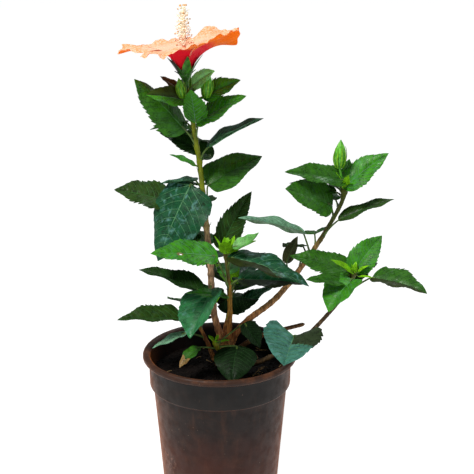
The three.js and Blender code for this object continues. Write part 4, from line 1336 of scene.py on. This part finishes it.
# The record's finish for each tint that has none of its own name.
TINT_SLOTS = {"sky": "leaf_blue", "silver": "leaf_blue", "jade": "leaf_fresh", "lime": "leaf_fresh",
              "dark": "leaf_olive", "deep": "leaf_olive", "bronze": "leaf_olive"}

# How much painted sky reflection, in pale blue-white patches, a tint carries on its upper face, where it
# isn't the common amount.
COMMON_SKY_REFLECTION = 0.12
SKY_REFLECTION_OF = {"blue": 0.62, "sky": 0.5, "jade": 0.45, "silver": 0.4, "fresh": 0.16, "mature": 0.06,
            "olive": 0.05, "dark": 0.0, "deep": 0.0, "young": 0.0}

# How strongly a tint's upper face mirrors, where it isn't as strongly as the rest.
COMMON_SHINE = 0.24
SHINE_OF = {"lime": 0.5, "fresh": 0.18, "mature": 0.16, "young": 0.15, "silver": 0.15, "olive": 0.12,
            "bronze": 0.12, "dark": 0.08, "deep": 0.05}

# Which veins a tint has, where they aren't the light ones.
VEINED = {"young": "young", "mature": "dark", "olive": "dark", "bronze": "deep", "dark": "deep",
          "deep": "deep"}

# The veins of a half blade: where each leaves the midrib, and where it meets the margin.
VEINS = np.array([(0.0, 0.15), (0.004, 0.36), (0.12, 0.455), (0.22, 0.53), (0.33, 0.605), (0.44, 0.675),
                  (0.55, 0.742), (0.66, 0.808), (0.76, 0.868), (0.85, 0.922), (0.92, 0.962)])

# Where the columns of a blade's grid run, from its left margin over the midrib to its right one.
BESIDE_MIDRIB = [0.05, 0.13, 0.27, 0.44, 0.62, 0.8, 0.93, 1.0]
COLUMNS = np.array([*(-b for b in reversed(BESIDE_MIDRIB)), 0, *BESIDE_MIDRIB])

# Where the rows of a tooth lie within it: its tip is at the last one.
TOOTH_ROWS = (0, 0.27, 0.53, 0.8)
TOOTH_TIP = TOOTH_ROWS[-1]


def vein_share(across):
    """The share of the blade's length at which each vein lies, this far across."""
    start, end = VEINS[:, 0], VEINS[:, 1]
    return start + (end - start) * np.abs(across)[..., None] ** 1.2


class Blade:
    """The surface of one blade: teeth, waves, and puffs between sunken veins."""

    def __init__(self, item, base, settings, random):
        self.item, self.base, self.settings, self.random = item, base, settings, random
        length = item["length"]
        self.puff = settings.puff * length
        self.wave = settings.wave * length * (0.5 if item["tint"] == "young" else 1)
        self.phases = [random() * 6.28, random() * 6.28]
        self.waves = random.between(1.6, 2.4)
        self.teeth = int(np.clip(round(length / 8), 4, 10))

    def puffs(self, share, across):
        """0 on a side vein and 1 midway between two."""
        lines = vein_share(across)
        k = np.clip((lines <= share[..., None]).sum(-1) - 1, 0, len(VEINS) - 2)[..., None]
        low = np.take_along_axis(lines, k, -1)[..., 0]
        high = np.take_along_axis(lines, k + 1, -1)[..., 0]
        within = np.clip((share - low) / np.maximum(high - low, 0.01), 0, 1)
        return np.sin(math.pi * within) ** 0.7

    def lift(self, share, across):
        """The height of the surface over its fold."""
        share, across = np.broadcast_arrays(np.asarray(share, float), np.asarray(across, float))
        reach = np.abs(across)
        half = self.item["width"] / 2 * outline(share)
        stout = np.minimum(1, half / 8)
        made = self.puff * self.puffs(share, across) * fade(reach, 0, 0.12) * (1 - reach**5) * stout
        dimples = np.sin(share * self.item["length"] / 3.1 + self.phases[0])
        dimples = dimples * np.sin(across * half / 2.6 + self.phases[1])
        made = made + self.puff * 0.28 * dimples * stout * (1 - reach**4)
        made = made + self.settings.groove / MM * (fade(reach, 0, 0.3) - 1) * stout
        phase = np.where(across < 0, self.phases[0], self.phases[1])
        ruffle = np.sin(2 * math.pi * self.waves * share + phase)
        return made + self.wave * ruffle * reach**2.4 * fade(share, 0.02, 0.25) * fade(1.02 - share, 0, 0.3)

    def margin(self):
        """Rows as shares of the length, and how far each side's margin stands out and ahead there."""
        first, last = 0.2, 0.94
        step = (last - first) / self.teeth
        depth = [[0.6 + 0.8 * self.random() for _ in range(self.teeth + 1)] for _ in range(2)]
        rows = [(s, 1, 1, 0, 0) for s in (0, 0.012, 0.035, 0.07, 0.11, 0.155)]
        for i in range(self.teeth):
            for part in TOOTH_ROWS:
                stands, leads = [], []
                for side in range(2):
                    t = (part + 0.4 * side) % 1
                    tip = t / TOOTH_TIP if t <= TOOTH_TIP else (1 - t) / 0.2
                    cut = self.settings.tooth * self.item["tooth"] * depth[side][i]
                    stands.append(1 - cut * (1 - tip))
                    leads.append(step * 0.5 * tip * min(1, self.item["tooth"] * 1.5))
                rows.append((first + step * (i + part), *stands, *leads))
        return np.array(rows + [(s, 1, 1, 0, 0) for s in (0.955, 0.975, 0.99, 1)])

    def surface(self, share, across, offset, width=1.0):
        return on_blade(self.item, self.base, share, across * width,
                        self.lift(share, across) + offset, least=0.012)

    def mesh(self):
        """The blade as a closed sheet. Its materials are the upper, under, dry and dry under ones, then the
        upper and under ones of the half blade in painted shade.
        """
        rows = self.margin()
        across = COLUMNS[None, :]
        is_left = across < 0
        stand = np.where(is_left, rows[:, 1:2], rows[:, 2:3])
        lead = np.where(is_left, rows[:, 3:4], rows[:, 4:5])
        reach = np.abs(across) ** 7
        width = 1 - (1 - stand) * reach
        share = np.clip(rows[:, 0:1] + lead * reach, 0, 1)
        half = self.settings.thickness / MM * (1 - 0.55 * np.abs(across)) / 2
        upper = self.surface(share, across + 0 * share, half, width)
        under = self.surface(share, across + 0 * share, -half, width)
        middle = (rows[1:, 0] + rows[:-1, 0])[:, None] / 2
        beside = (COLUMNS[1:] + COLUMNS[:-1])[None, :] / 2
        finish, kept = np.zeros((len(rows) - 1, len(COLUMNS) - 1), int), None
        if "scorch" in self.item:
            finish[middle + 0.1 * np.abs(beside) > self.item["scorch"]] = 2
        # Painted shade: the half blade on the given side, from start to end along it, takes the darker
        # finishes 4 and 5.
        if "dull" in self.item:
            side, low, high = self.item["dull"]
            along = middle - 0.3 * np.abs(beside)
            finish[(beside * side > 0) & (middle >= low) & (along < high)] = 4
        if "hole" in self.item:
            where, aside = self.item["hole"]
            away = np.hypot((middle - where) * self.item["length"], (beside - aside) * self.item["width"] / 2)
            finish[away < 4.4] = 2
            kept = away > 1.9
        return sheet(upper, under, finish, kept)

    def veins(self, is_upper):
        """The midrib and the side veins of one face, as strands that stand a little out of it."""
        thickness = self.settings.thickness / MM / 2
        size = min(1.0, self.item["length"] / 80) * self.settings.vein / MM
        sign, stout = (1, 0.85) if is_upper else (-1, 1.3)
        shares = np.linspace(0.0, 0.975, 16)
        lines = [(self.surface(shares, 0 * shares, sign * thickness), size * stout * 1.8 * (1.06 - shares))]
        if self.item["length"] < 26:
            return lines
        raised = 0.8 * self.puff if is_upper else 0
        in_painted_shade, _, until = self.item.get("dull", (0, 0, 0))
        for start, end in VEINS[:-1]:
            for side in (-1, 1):
                # The half blade in painted shade gets no raised side veins on its upper face.
                if is_upper and side * in_painted_shade > 0 and start < until:
                    continue
                across = np.linspace(0, 0.93, 9)
                share = start + (end - start) * across**1.2
                if "hole" in self.item:
                    where, aside = self.item["hole"]
                    away = np.hypot((share - where) * self.item["length"],
                                    (side * across - aside) * self.item["width"] / 2)
                    across, share = across[away > 4], share[away > 4]
                taper = size * stout * (1 - 0.72 * across) * (1.1 - 0.6 * start)
                height = sign * thickness * 0.7 + raised * fade(across, 0, 0.3) * fade(1 - across, 0, 0.2)
                lines.append((self.surface(share, side * across, height), taper))
        return lines


def stalk_line(limb, item, base, settings):
    """The middle line and the thickness of a leaf's stalk."""
    joint = limb.at(limb.share_at(item["up"]))
    under = on_blade(item, base, min(0.12, 4 / item["length"]), 0.0, -0.4)
    bow = joint + (base - joint) * 0.55
    bow[2] += 0.05 * (base[2] - joint[2]) + 1
    path = smooth_path([joint, bow, base, under], 7)
    share = np.linspace(0, 1, len(path))
    radius = settings.stalk / MM * min(1, item["length"] / 60 + 0.3)
    swell = 1 + 0.45 * np.exp(-(share / 0.12) ** 2) + 0.25 * np.exp(-((share - 0.9) / 0.09) ** 2)
    return path, radius * swell * (1.1 - 0.3 * share)


def stipules(limb, item):
    """Two fine bristles beside the joint of a stalk."""
    share = limb.share_at(item["up"])
    compass = item["stalk"][0]
    foot = limb.at(share) + heading(compass, 0) * limb.radius(share)
    for side in (-34, 34):
        out = heading(compass + side, 35)
        path = smooth_path([foot, foot + out * 2.6 + UP * 0.6, foot + out * 4.6 + UP * 3.2], 4)
        yield path, np.linspace(0.42, 0.1, len(path))


class HIBISCUS_OT_foliage(bpy.types.Operator):
    """Grows leaves with toothed blades, raised veins and stalks by the rule of the solids"""

    bl_idname = "hibiscus.foliage"
    bl_label = "Foliage"

    def execute(self, context):
        settings = context.scene.hibiscus_leaves
        random = Seeded(5)
        piles, upper_veins, under_veins, stalks = {}, {}, {}, []
        for stem, item in grow():
            limb = LIMBS[stem]
            base = base_of(limb, item)
            blade = Blade(item, base, settings, random)
            tint = item["tint"]
            piles.setdefault(tint, Pile()).add(*blade.mesh())
            group = VEINED.get(tint, "light")
            upper_veins.setdefault(group, []).extend(blade.veins(True))
            under_veins.setdefault(group, []).extend(blade.veins(False))
            stalks.append(stalk_line(limb, item, base, settings))
            if item["length"] > 30:
                stalks += list(stipules(limb, item))
        self.blades(settings, piles)
        self.veins(settings, upper_veins, under_veins)
        self.stalks(settings, stalks)
        return {"FINISHED"}

    def blades(self, settings, piles):
        """One piece for each tint, with its upper, under and dry finishes, and darker painted-shade ones for
        the half blade that turns from the light.
        """
        scorched = [leaf_finish("leaf_dry", settings.dry, True),
                    leaf_finish("leaf_dry_under", settings.dry, False)]
        for tint, pile in sorted(piles.items()):
            colour = getattr(settings, tint)
            # Painted shade: the under face takes a darker copy of the blade's colour, half as bright for most
            # tints, with a little olive added.
            depth = 0.9 if tint in ("fresh", "young", "silver", "lime", "jade") else 0.5
            under = (depth * colour[0] + 0.004, depth * colour[1] + 0.003, depth * colour[2])
            dull = tuple((0.35 if tint == "silver" else 0.1) * c + d for c, d in zip(colour, settings.dull))
            # bloom is the strength of the tint's painted sky reflection, and shine is how strongly its upper
            # face mirrors.
            bloom, shine = SKY_REFLECTION_OF.get(tint, COMMON_SKY_REFLECTION), SHINE_OF.get(tint, COMMON_SHINE)
            finishes = [leaf_finish(f"leaf_{tint}", colour, True, bloom, shine),
                        leaf_finish(f"leaf_{tint}_under", under, False)]
            in_painted_shade = [leaf_finish(f"leaf_{tint}_dull", dull, True, 0.0, 0.1),
                      leaf_finish(f"leaf_{tint}_dull_under", dull, False)]
            piece = pile.piece(f"{tint}_leaves", finishes + scorched + in_painted_shade)
            own(piece, TINT_SLOTS.get(tint, f"leaf_{tint}"), *MASSES)

    def veins(self, settings, upper, under):
        """The veins of each group of tints, in a piece for either side of the blades."""
        # Painted shade: the deep group's veins are a darker copy of the dark veins, for the blades in deep
        # shade.
        colours = {"light": settings.rib, "dark": settings.nerve, "deep": shade(settings.nerve, 0.45),
                   "young": shade(settings.young, 1.3)}
        for group, colour in colours.items():
            vein = Finish(f"vein_{group}", 0.5, 0.2)
            vein.blotch(shade(colour, 0.7), shade(colour, 1.25), 8, 3, 0.35, 0.65)
            own(strands(f"{group}_veins_upper", upper[group], 4, vein.material), "leaf_vein")
            own(strands(f"{group}_veins_under", under[group], 4, vein.material), "leaf_vein")

    def stalks(self, settings, lines):
        """The stalks of all leaves, with their bristles."""
        skin = Finish("leaf_stalk", 0.5, 0.4)
        skin.blotch(shade(settings.petiole, 0.6), shade(settings.petiole, 1.6), 7, 3, 0.35, 0.68)
        skin.bump(skin.noise(1.2, 4), 0.12, 0.5)
        own(strands("leaf_stalks", lines, 9, skin.material), "stalk", *MASSES)


class HIBISCUS_OT_buds(bpy.types.Operator):
    """Grows the closed buds: a ribbed drop in a ring of narrow bracts"""

    bl_idname = "hibiscus.buds"
    bl_label = "Buds"

    def execute(self, context):
        settings = context.scene.hibiscus_leaves
        pile, lines = Pile(), []
        for mass in MASSES.values():
            limb = LIMBS[mass["stem"]]
            for item in mass.get("buds", ()):
                self.grow_bud(pile, lines, limb, item)
        skin = Finish("bud_skin", 0.4, 0.4)
        skin.blotch((0.05, 0.27, 0.01), (0.13, 0.47, 0.03), 4, 4, 0.36, 0.66)
        skin.bump(skin.noise(1, 4), 0.15, 0.6)
        bract = Finish("bract_skin", 0.45, 0.35)
        bract.blotch(shade(settings.young, 0.6), shade(settings.young, 1.1), 3, 4, 0.36, 0.66)
        bract.bump(bract.noise(0.8, 4), 0.1, 0.6)
        heads = [name for name, mass in MASSES.items() if mass.get("buds")]
        own(pile.piece("buds", [skin.material, bract.material, bract.material]), "calyx", *heads)
        own(strands("bud_stalks", lines, 9, skin.material), "stalk", *heads)
        return {"FINISHED"}

    def grow_bud(self, pile, lines, limb, item):
        """One bud in its ring of nine bracts, and the line of its stalk."""
        joint, base = limb.at(limb.share_at(item["up"])), base_of(limb, item)
        axis = heading(item["compass"], item["rise"])
        length, half = item["length"], item["width"] / 2
        tip = base + axis * length
        path = smooth_path([joint, joint + (base - joint) * 0.6, base, base + (tip - base) * 0.2], 6)
        lines.append((path, np.linspace(1.5, 1.2, len(path))))
        shares = np.linspace(0, 1, 22)
        swell = half * np.maximum(0.05, np.sin(math.pi * (0.1 + 0.9 * shares)) ** 0.85)
        side = unit(np.cross(axis, (0.3, 0.9, 0.1)))
        other = np.cross(axis, side)

        def seams(places, share, out):
            turn = np.arctan2(out @ other, out @ side)
            return -0.16 * half * np.abs(np.cos(2.5 * turn)) ** 6 * math.sin(math.pi * share)

        pile.add(*tube(base - 2 * axis + shares[:, None] * (tip - base + 2 * axis), swell, 40, seams))
        for i in range(9):
            turn = 2 * math.pi * i / 9
            out = side * math.cos(turn) + other * math.sin(turn)
            wide = np.cross(axis, out)
            share, across = np.linspace(0, 1, 14)[:, None], np.linspace(-1, 1, 5)[None, :]
            long = length * (0.62 + 0.22 * ((i * 5) % 9) / 9)
            stand = half * (0.25 + 0.82 * np.sin(math.pi * np.minimum(1, 0.1 + 0.75 * share)) ** 0.8) + 0.4
            stand = stand + 0.8 * share**3
            spread = (1.5 - 0.1 * share) * (1 - share) ** 0.6 * (0.5 + 1.2 * share)
            middle = base - axis + axis * (share * long)[..., None] + out * stand[..., None]
            aside = wide * (across * spread)[..., None]
            faces = [middle + aside + out * (skin - 0.3 * across**2)[..., None] for skin in (0.25, -0.25)]
            pile.add(*sheet(*faces, np.full((13, 4), 1)))


# ------------------------------ bloom


def to_world(places):
    """Places in the flower's own frame, whose axis leans off the upright, as the shrub's places."""
    compass, angle = BLOOM["lean"]
    turn = Vector((0, 0, 1)).rotation_difference(Vector(heading(compass, 90 - angle)))
    return np.asarray(places, float) @ np.array(turn.to_matrix()).T + np.array(BLOOM["stalk"][-1], float)


def petal_finish(name, foot, body, margin, edge, mottle):
    """A petal whose colour runs from its foot to its margin, with veins that fan along it."""
    finish = Finish(name, 0.6, 0.12)
    along, across = finish.axis("Y", "UV"), finish.axis("X", "UV")
    cloud = finish.noise(4, 5, 0.7)
    warm = finish.mix(finish.ramp(along, edge[0], edge[1]), foot, body)
    reach = finish.plus(along, finish.times(cloud, 0.25))
    tone = finish.mix(finish.ramp(reach, edge[2], edge[3]), warm, margin)
    blots = finish.patches(2.6, 5, 0.42, 0.56, rough=0.75)
    patch = finish.times(blots, finish.ramp(along, 0.45, 0.85, 0.15, 1.0))
    mottled = finish.mix(finish.times(patch, mottle), tone, (0.82, 0.25, 0.05))
    wander = finish.plus(finish.times(across, 170.0), finish.times(finish.noise(7, 2), 5.0))
    values = {"Value": finish.math("SINE", wander, 0.0), "From Min": 0.5, "From Max": 1.0}
    fine = finish.node("ShaderNodeMapRange", values).outputs["Result"]
    veins = finish.times(fine, 0.28)
    finish.colour(finish.mix(veins, mottled, finish.mix(0.5, body, foot)))
    finish.bump(fine, 0.2, 0.8)
    return finish.material


class HIBISCUS_OT_bloom(bpy.types.Operator):
    """Opens the flower: five ruffled petals, calyx, and the column with its anthers"""

    bl_idname = "hibiscus.bloom"
    bl_label = "Bloom"

    def execute(self, context):
        settings = context.scene.hibiscus_bloom
        self.petals(settings)
        self.calyx(settings, context.scene.hibiscus_leaves)
        self.column(settings)
        return {"FINISHED"}

    def petals(self, settings):
        pile = Pile()
        share = (0.04 + 0.96 * np.linspace(0, 1, 40))[:, None]
        across = np.linspace(-1, 1, 45)[None, :]
        uv = np.stack([(across + 1) / 2 + 0 * share, share + 0 * across], -1).reshape(-1, 2)
        for number, plan in enumerate(BLOOM["petals"]):
            faces = [self.petal(settings, *plan, share, across, sign, number) for sign in (1, -1)]
            pile.add(*sheet(*faces), np.vstack([uv, uv]))
        upper = petal_finish("petal_upper", settings.throat, shade(settings.pale, 0.97), settings.pale,
                             (0.12, 0.34, 0.8, 1.1), 0.85)
        # Painted light: the under side's deep orange is partly the petal's own colour and partly light
        # shining through the thin petal.
        under = petal_finish("petal_under", settings.throat, settings.orange, shade(settings.orange, 1.15),
                             (0.38, 0.62, 0.8, 1.1), 0.0)
        own(pile.piece("petals", [upper, under]), "petal_orange", "bloom")

    def petal(self, settings, compass, lift, roll, bow, share, across, sign, number):
        """One face of a petal: a funnel that opens into a flat, ruffled spread."""
        bent = share * (1 - 0.16 * across**2)
        edge = 0.016 * np.sin(across * 13 + number * 2) + 0.011 * np.sin(across * 29 + compass)
        out = BLOOM["length"] * (0.05 + 0.95 * bent**1.12) * (1 + edge * share**6)
        rise = BLOOM["funnel"] * (1 - np.exp(-bent * 5.2)) - 6 * bent**3
        tilt = math.radians(lift) * bent
        level = out * np.cos(tilt) - rise * np.sin(tilt) * 0.2
        high = rise + out * np.sin(tilt) + bow * across**2 * share
        swing = np.sin((math.pi / 2) * np.minimum(1, share / 0.78) ** 1.25)
        half = BLOOM["width"] / 2 * (0.13 + 0.87 * swing)
        wrap = half * across * (1 - 0.35 * np.minimum(1, 24 / np.maximum(level, 1)))
        broad = 2.6 * share**2 * np.sin(across * 5 + share * 7 + compass)
        depth = settings.ruffle / MM * fade(share, 0.45, 1)
        fine = 0.6 * np.sin(across * 9 + number * 1.7 + share * 3) + 0.35 * np.sin(across * 17 + compass)
        ribs = 0.3 * np.sin(across * 42) * fade(share, 0.15, 0.5)
        skin = sign * settings.thickness / MM / 2 * (1.5 - share)
        height = high + broad + depth * fine + ribs + skin + wrap * share**2 * math.tan(math.radians(roll))
        outward = heading(compass, 0)
        aside = np.cross(outward, UP)
        reach = level - wrap**2 / (2 * (level + 30))
        return to_world(reach[..., None] * outward + wrap[..., None] * aside + height[..., None] * UP)

    def calyx(self, settings, greens):
        """The cup under the petals, its five sepals, the ring of bracts below them, and the stalk."""
        pile = Pile()
        cup = subdivided(rounded([(0, -3), (3.2, -2.4), (7, 4), (8.3, 11), (6.5, 13.5), (0, 13.5)], 2), 1.5)
        vertices, faces = lathe(cup, 40, lambda r, h, a: 0.35 * np.cos(10 * a) * fade(r, 3, 7))
        throat_floor = 12.2
        is_throat = [all(vertices[i, 2] > throat_floor for i in face) for face in faces]
        pile.add(to_world(vertices), faces, np.where(is_throat, 2, 0).tolist())
        for count, turn, length, width, pitch, foot in ((5, -3, 33, 12, 55, 4), (8, 0, 15, 2.6, 42, 1.5)):
            for i in range(count):
                compass = i * 360 / count + turn
                sepal = leaf(0, None, (compass, pitch, length, width), droop=14, fold=14)
                share, across = np.linspace(0, 1, 14)[:, None], np.linspace(-1, 1, 7)[None, :]
                spot = heading(compass, 0) * foot
                rib = 0.3 * np.abs(np.cos(across * 3 * math.pi))
                top = on_blade(sepal, spot, share, across + 0 * share, 0.45 - rib * (width > 5), 0.02)
                low = on_blade(sepal, spot, share, across + 0 * share, -0.45 + rib * (width > 5), 0.02)
                vertices, faces, finish = sheet(top, low)
                pile.add(to_world(vertices), faces, finish)
        skin = Finish("calyx_skin", 0.45, 0.45)
        tone = skin.patches(6, 4, 0.36, 0.66)
        green = skin.mix(tone, shade(greens.fresh, 0.5), shade(greens.fresh, 1.5))
        # Painted shade: the left side of the calyx turns to the deep-shade green.
        skin.colour(skin.mix(skin.ramp(skin.axis("X"), -0.05, -0.042), greens.deep, green))
        skin.bump(skin.noise(0.8, 4), 0.12, 0.6)
        throat = Finish("throat", 0.6, 0.12)
        throat.colour(settings.throat)
        own(pile.piece("calyx", [skin.material, skin.material, throat.material]), "calyx", "bloom")
        path = smooth_path(BLOOM["stalk"], 8)
        stalk = Pile()
        stalk.add(*tube(path, np.linspace(2.4, 2.9, len(path)), 18))
        own(stalk.piece("bloom_stalk", [skin.material]), "calyx", "bloom")

    def column(self, settings):
        """The column of the flower, with filaments and anthers round its end and five round tips."""
        length = BLOOM["column"]
        path = smooth_path([(0, 0, 4), (1, 0, length / 2), (4, -3, length)], 24)
        shares = np.linspace(0, 1, len(path))
        cream = Finish("column", 0.5, 0.35)
        tone = cream.patches(8, 4, 0.4, 0.66)
        foot = cream.ramp(cream.axis("Z"), 0.575, 0.598)
        warm = cream.mix(foot, shade(settings.orange, 0.9), settings.cream)
        cream.colour(cream.mix(tone, warm, shade(settings.cream, 1.05)))
        cream.bump(cream.noise(1.4, 4), 0.15, 0.5)
        pile = Pile()
        core = 2.5 * (1.1 - 0.5 * shares) + 2.3 * fade(shares, 0.4, 0.52) * (1.1 - shares)
        vertices, faces = tube(path, core, 20)
        pile.add(to_world(vertices), faces)
        own(pile.piece("column", [cream.material]), "column", "bloom")
        random, lines, pads = Seeded(7), [], Pile()
        for i in range(settings.anthers):
            rise = i / (settings.anthers - 1)
            root = path[int((0.46 + 0.5 * rise) * (len(path) - 1))]
            out = heading(i * GOLDEN_TURN, 5 + 35 * random())
            reach = (11.5 - 5 * rise) * (0.5 + 0.6 * random())
            tip = root + out * reach
            bend = root + out * reach * 0.5 + UP * random.between(-0.5, 0.8)
            strand = smooth_path([root, bend, tip], 3)
            lines.append((to_world(strand), np.linspace(0.34, 0.22, len(strand))))
            side = unit(np.cross(out, UP))
            curl = np.array([[0], [0.7], [1], [0.7], [0]])
            spine = tip + np.linspace(-1, 1, 5)[:, None] * side * 1.2 + 0.4 * UP * curl
            vertices, faces = tube(spine, 0.95 * np.array([0.45, 0.9, 1, 0.9, 0.45]), 7)
            pads.add(to_world(vertices), faces, int(random() < 0.07))
        top = path[-1]
        for i in range(5):
            out = heading(i * 72 + 12, 28)
            strand = smooth_path([top - UP * 4, top + out * 2.6 - UP, top + out * 4.2], 4)
            lines.append((to_world(strand), np.linspace(0.75, 0.5, len(strand))))
            shares = np.linspace(-1, 1, 7)
            knob = top + out * 4.4
            ball = 1.2 * np.sqrt(np.clip(1 - shares**2, 0.04, 1))
            vertices, faces = tube(knob + shares[:, None] * out * 1.1, ball, 12)
            pads.add(to_world(vertices), faces, 1)
        own(strands("filaments", lines, 6, cream.material), "column", "bloom")
        tan = Finish("pollen", 0.7, 0.2)
        tan.blotch((0.5, 0.22, 0.06), (0.85, 0.5, 0.18), 0.8, 3, 0.4, 0.6)
        own(pads.piece("anthers", [cream.material, tan.material]), "column", "bloom")


# ------------------------------ stage


# The floor is a disc just under the pot, in millimetres. Its edge lies out of sight.
FLOOR_RADIUS = 60000
FLOOR_SIDES = 64
FLOOR_DEPTH = 0.2

# Each lamp's place, what it shines at and how wide it is, in metres, and its colour.
KEY_LAMP = ((-0.75, -0.75, 2.0), (0.0, 0.0, 0.35), 0.55, (1.0, 0.985, 0.95))
FILL_LAMP = ((1.5, -1.1, 0.9), (0.0, 0.0, 0.3), 1.4, (0.85, 0.93, 1.0))
BACK_LAMP = ((0.7, 1.3, 1.8), (0.0, 0.0, 0.4), 0.8, (0.9, 0.97, 1.0))

# Where the camera stands, in metres, how far it looks down, in degrees, and its lens in millimetres.
CAMERA_PLACE = (0.022, -1.1, 0.6595)
CAMERA_TILT = 16.1
LENS_LENGTH = 69.27
SENSOR_WIDTH = 36


class HIBISCUS_OT_stage(bpy.types.Operator):
    """Sets the pale floor, the soft lights and the camera"""

    bl_idname = "hibiscus.stage"
    bl_label = "Stage"

    def execute(self, context):
        settings = context.scene.hibiscus_stage
        floor = Finish("floor", 0.9, 0.1)
        floor.blotch(shade(settings.floor, 0.985), settings.floor, 900, 2, 0.3, 0.7)
        floor.set("Emission Color", (1, 1, 1))
        floor.set("Emission Strength", settings.glow)
        turn = np.linspace(0, 2 * math.pi, FLOOR_SIDES, endpoint=False)
        rim = [FLOOR_RADIUS * np.cos(turn), FLOOR_RADIUS * np.sin(turn), 0 * turn - FLOOR_DEPTH]
        pile = Pile()
        pile.add(np.stack(rim, -1), [tuple(range(FLOOR_SIDES))])
        ground = pile.piece("floor", [floor.material])

        self.lamp("key", settings.key, *KEY_LAMP)
        self.lamp("fill", settings.fill, *FILL_LAMP)
        self.lamp("back", settings.rim, *BACK_LAMP)

        world = bpy.data.worlds.new("even_light")
        world.use_nodes = True
        sky = world.node_tree.nodes["Background"]
        sky.inputs["Color"].default_value = (0.9, 0.95, 1.0, 1)
        sky.inputs["Strength"].default_value = settings.sky
        context.scene.world = world
        context.scene.view_settings.view_transform = "Standard"
        self.camera(context.scene)
        return {"FINISHED"}

    def camera(self, scene):
        lens = bpy.data.cameras.new("camera")
        lens.lens, lens.sensor_width = LENS_LENGTH, SENSOR_WIDTH
        lens.clip_start, lens.clip_end = 0.05, 200
        camera = bpy.data.objects.new("camera", lens)
        camera.location = CAMERA_PLACE
        camera.rotation_euler = (math.radians(90 - CAMERA_TILT), 0, 0)
        scene.collection.objects.link(camera)
        scene.camera = camera

    def lamp(self, name, power, place, target, size, colour):
        light = bpy.data.lights.new(name, "AREA")
        light.shape, light.size, light.energy, light.color = "DISK", size, power, colour
        lamp = bpy.data.objects.new(name, light)
        lamp.location = place
        lamp.rotation_euler = (Vector(target) - Vector(place)).to_track_quat("-Z", "Y").to_euler()
        bpy.context.scene.collection.objects.link(lamp)


# ------------------------------ add-on

SETTINGS = {
    "hibiscus_pot": PotSettings,
    "hibiscus_stems": StemSettings,
    "hibiscus_leaves": LeafSettings,
    "hibiscus_bloom": BloomSettings,
    "hibiscus_stage": StageSettings,
}

OPERATORS = (
    HIBISCUS_OT_stage,
    HIBISCUS_OT_pot,
    HIBISCUS_OT_soil,
    HIBISCUS_OT_crown,
    HIBISCUS_OT_limbs,
    HIBISCUS_OT_foliage,
    HIBISCUS_OT_buds,
    HIBISCUS_OT_bloom,
)


class HIBISCUS_PT_parts(bpy.types.Panel):
    """The sizes and colours of the shrub, and what makes each of its parts"""

    bl_idname = "HIBISCUS_PT_parts"
    bl_label = "Potted hibiscus"
    bl_space_type = "VIEW_3D"
    bl_region_type = "UI"
    bl_category = "Hibiscus"

    def draw(self, context):
        for operator in OPERATORS:
            self.layout.operator(operator.bl_idname)
        for name in SETTINGS:
            box = self.layout.box()
            group = getattr(context.scene, name)
            for setting in group.bl_rna.properties:
                if setting.identifier not in ("rna_type", "name"):
                    box.prop(group, setting.identifier)


def register():
    for name, group in SETTINGS.items():
        bpy.utils.register_class(group)
        setattr(bpy.types.Scene, name, PointerProperty(type=group))
    for operator in (*OPERATORS, HIBISCUS_PT_parts):
        bpy.utils.register_class(operator)


def unregister():
    for operator in (HIBISCUS_PT_parts, *reversed(OPERATORS)):
        bpy.utils.unregister_class(operator)
    for name, group in SETTINGS.items():
        delattr(bpy.types.Scene, name)
        bpy.utils.unregister_class(group)


def main():
    register()
    for operator in OPERATORS:
        area, name = operator.bl_idname.split(".")
        getattr(getattr(bpy.ops, area), name)()


if __name__ == "__main__":
    main()
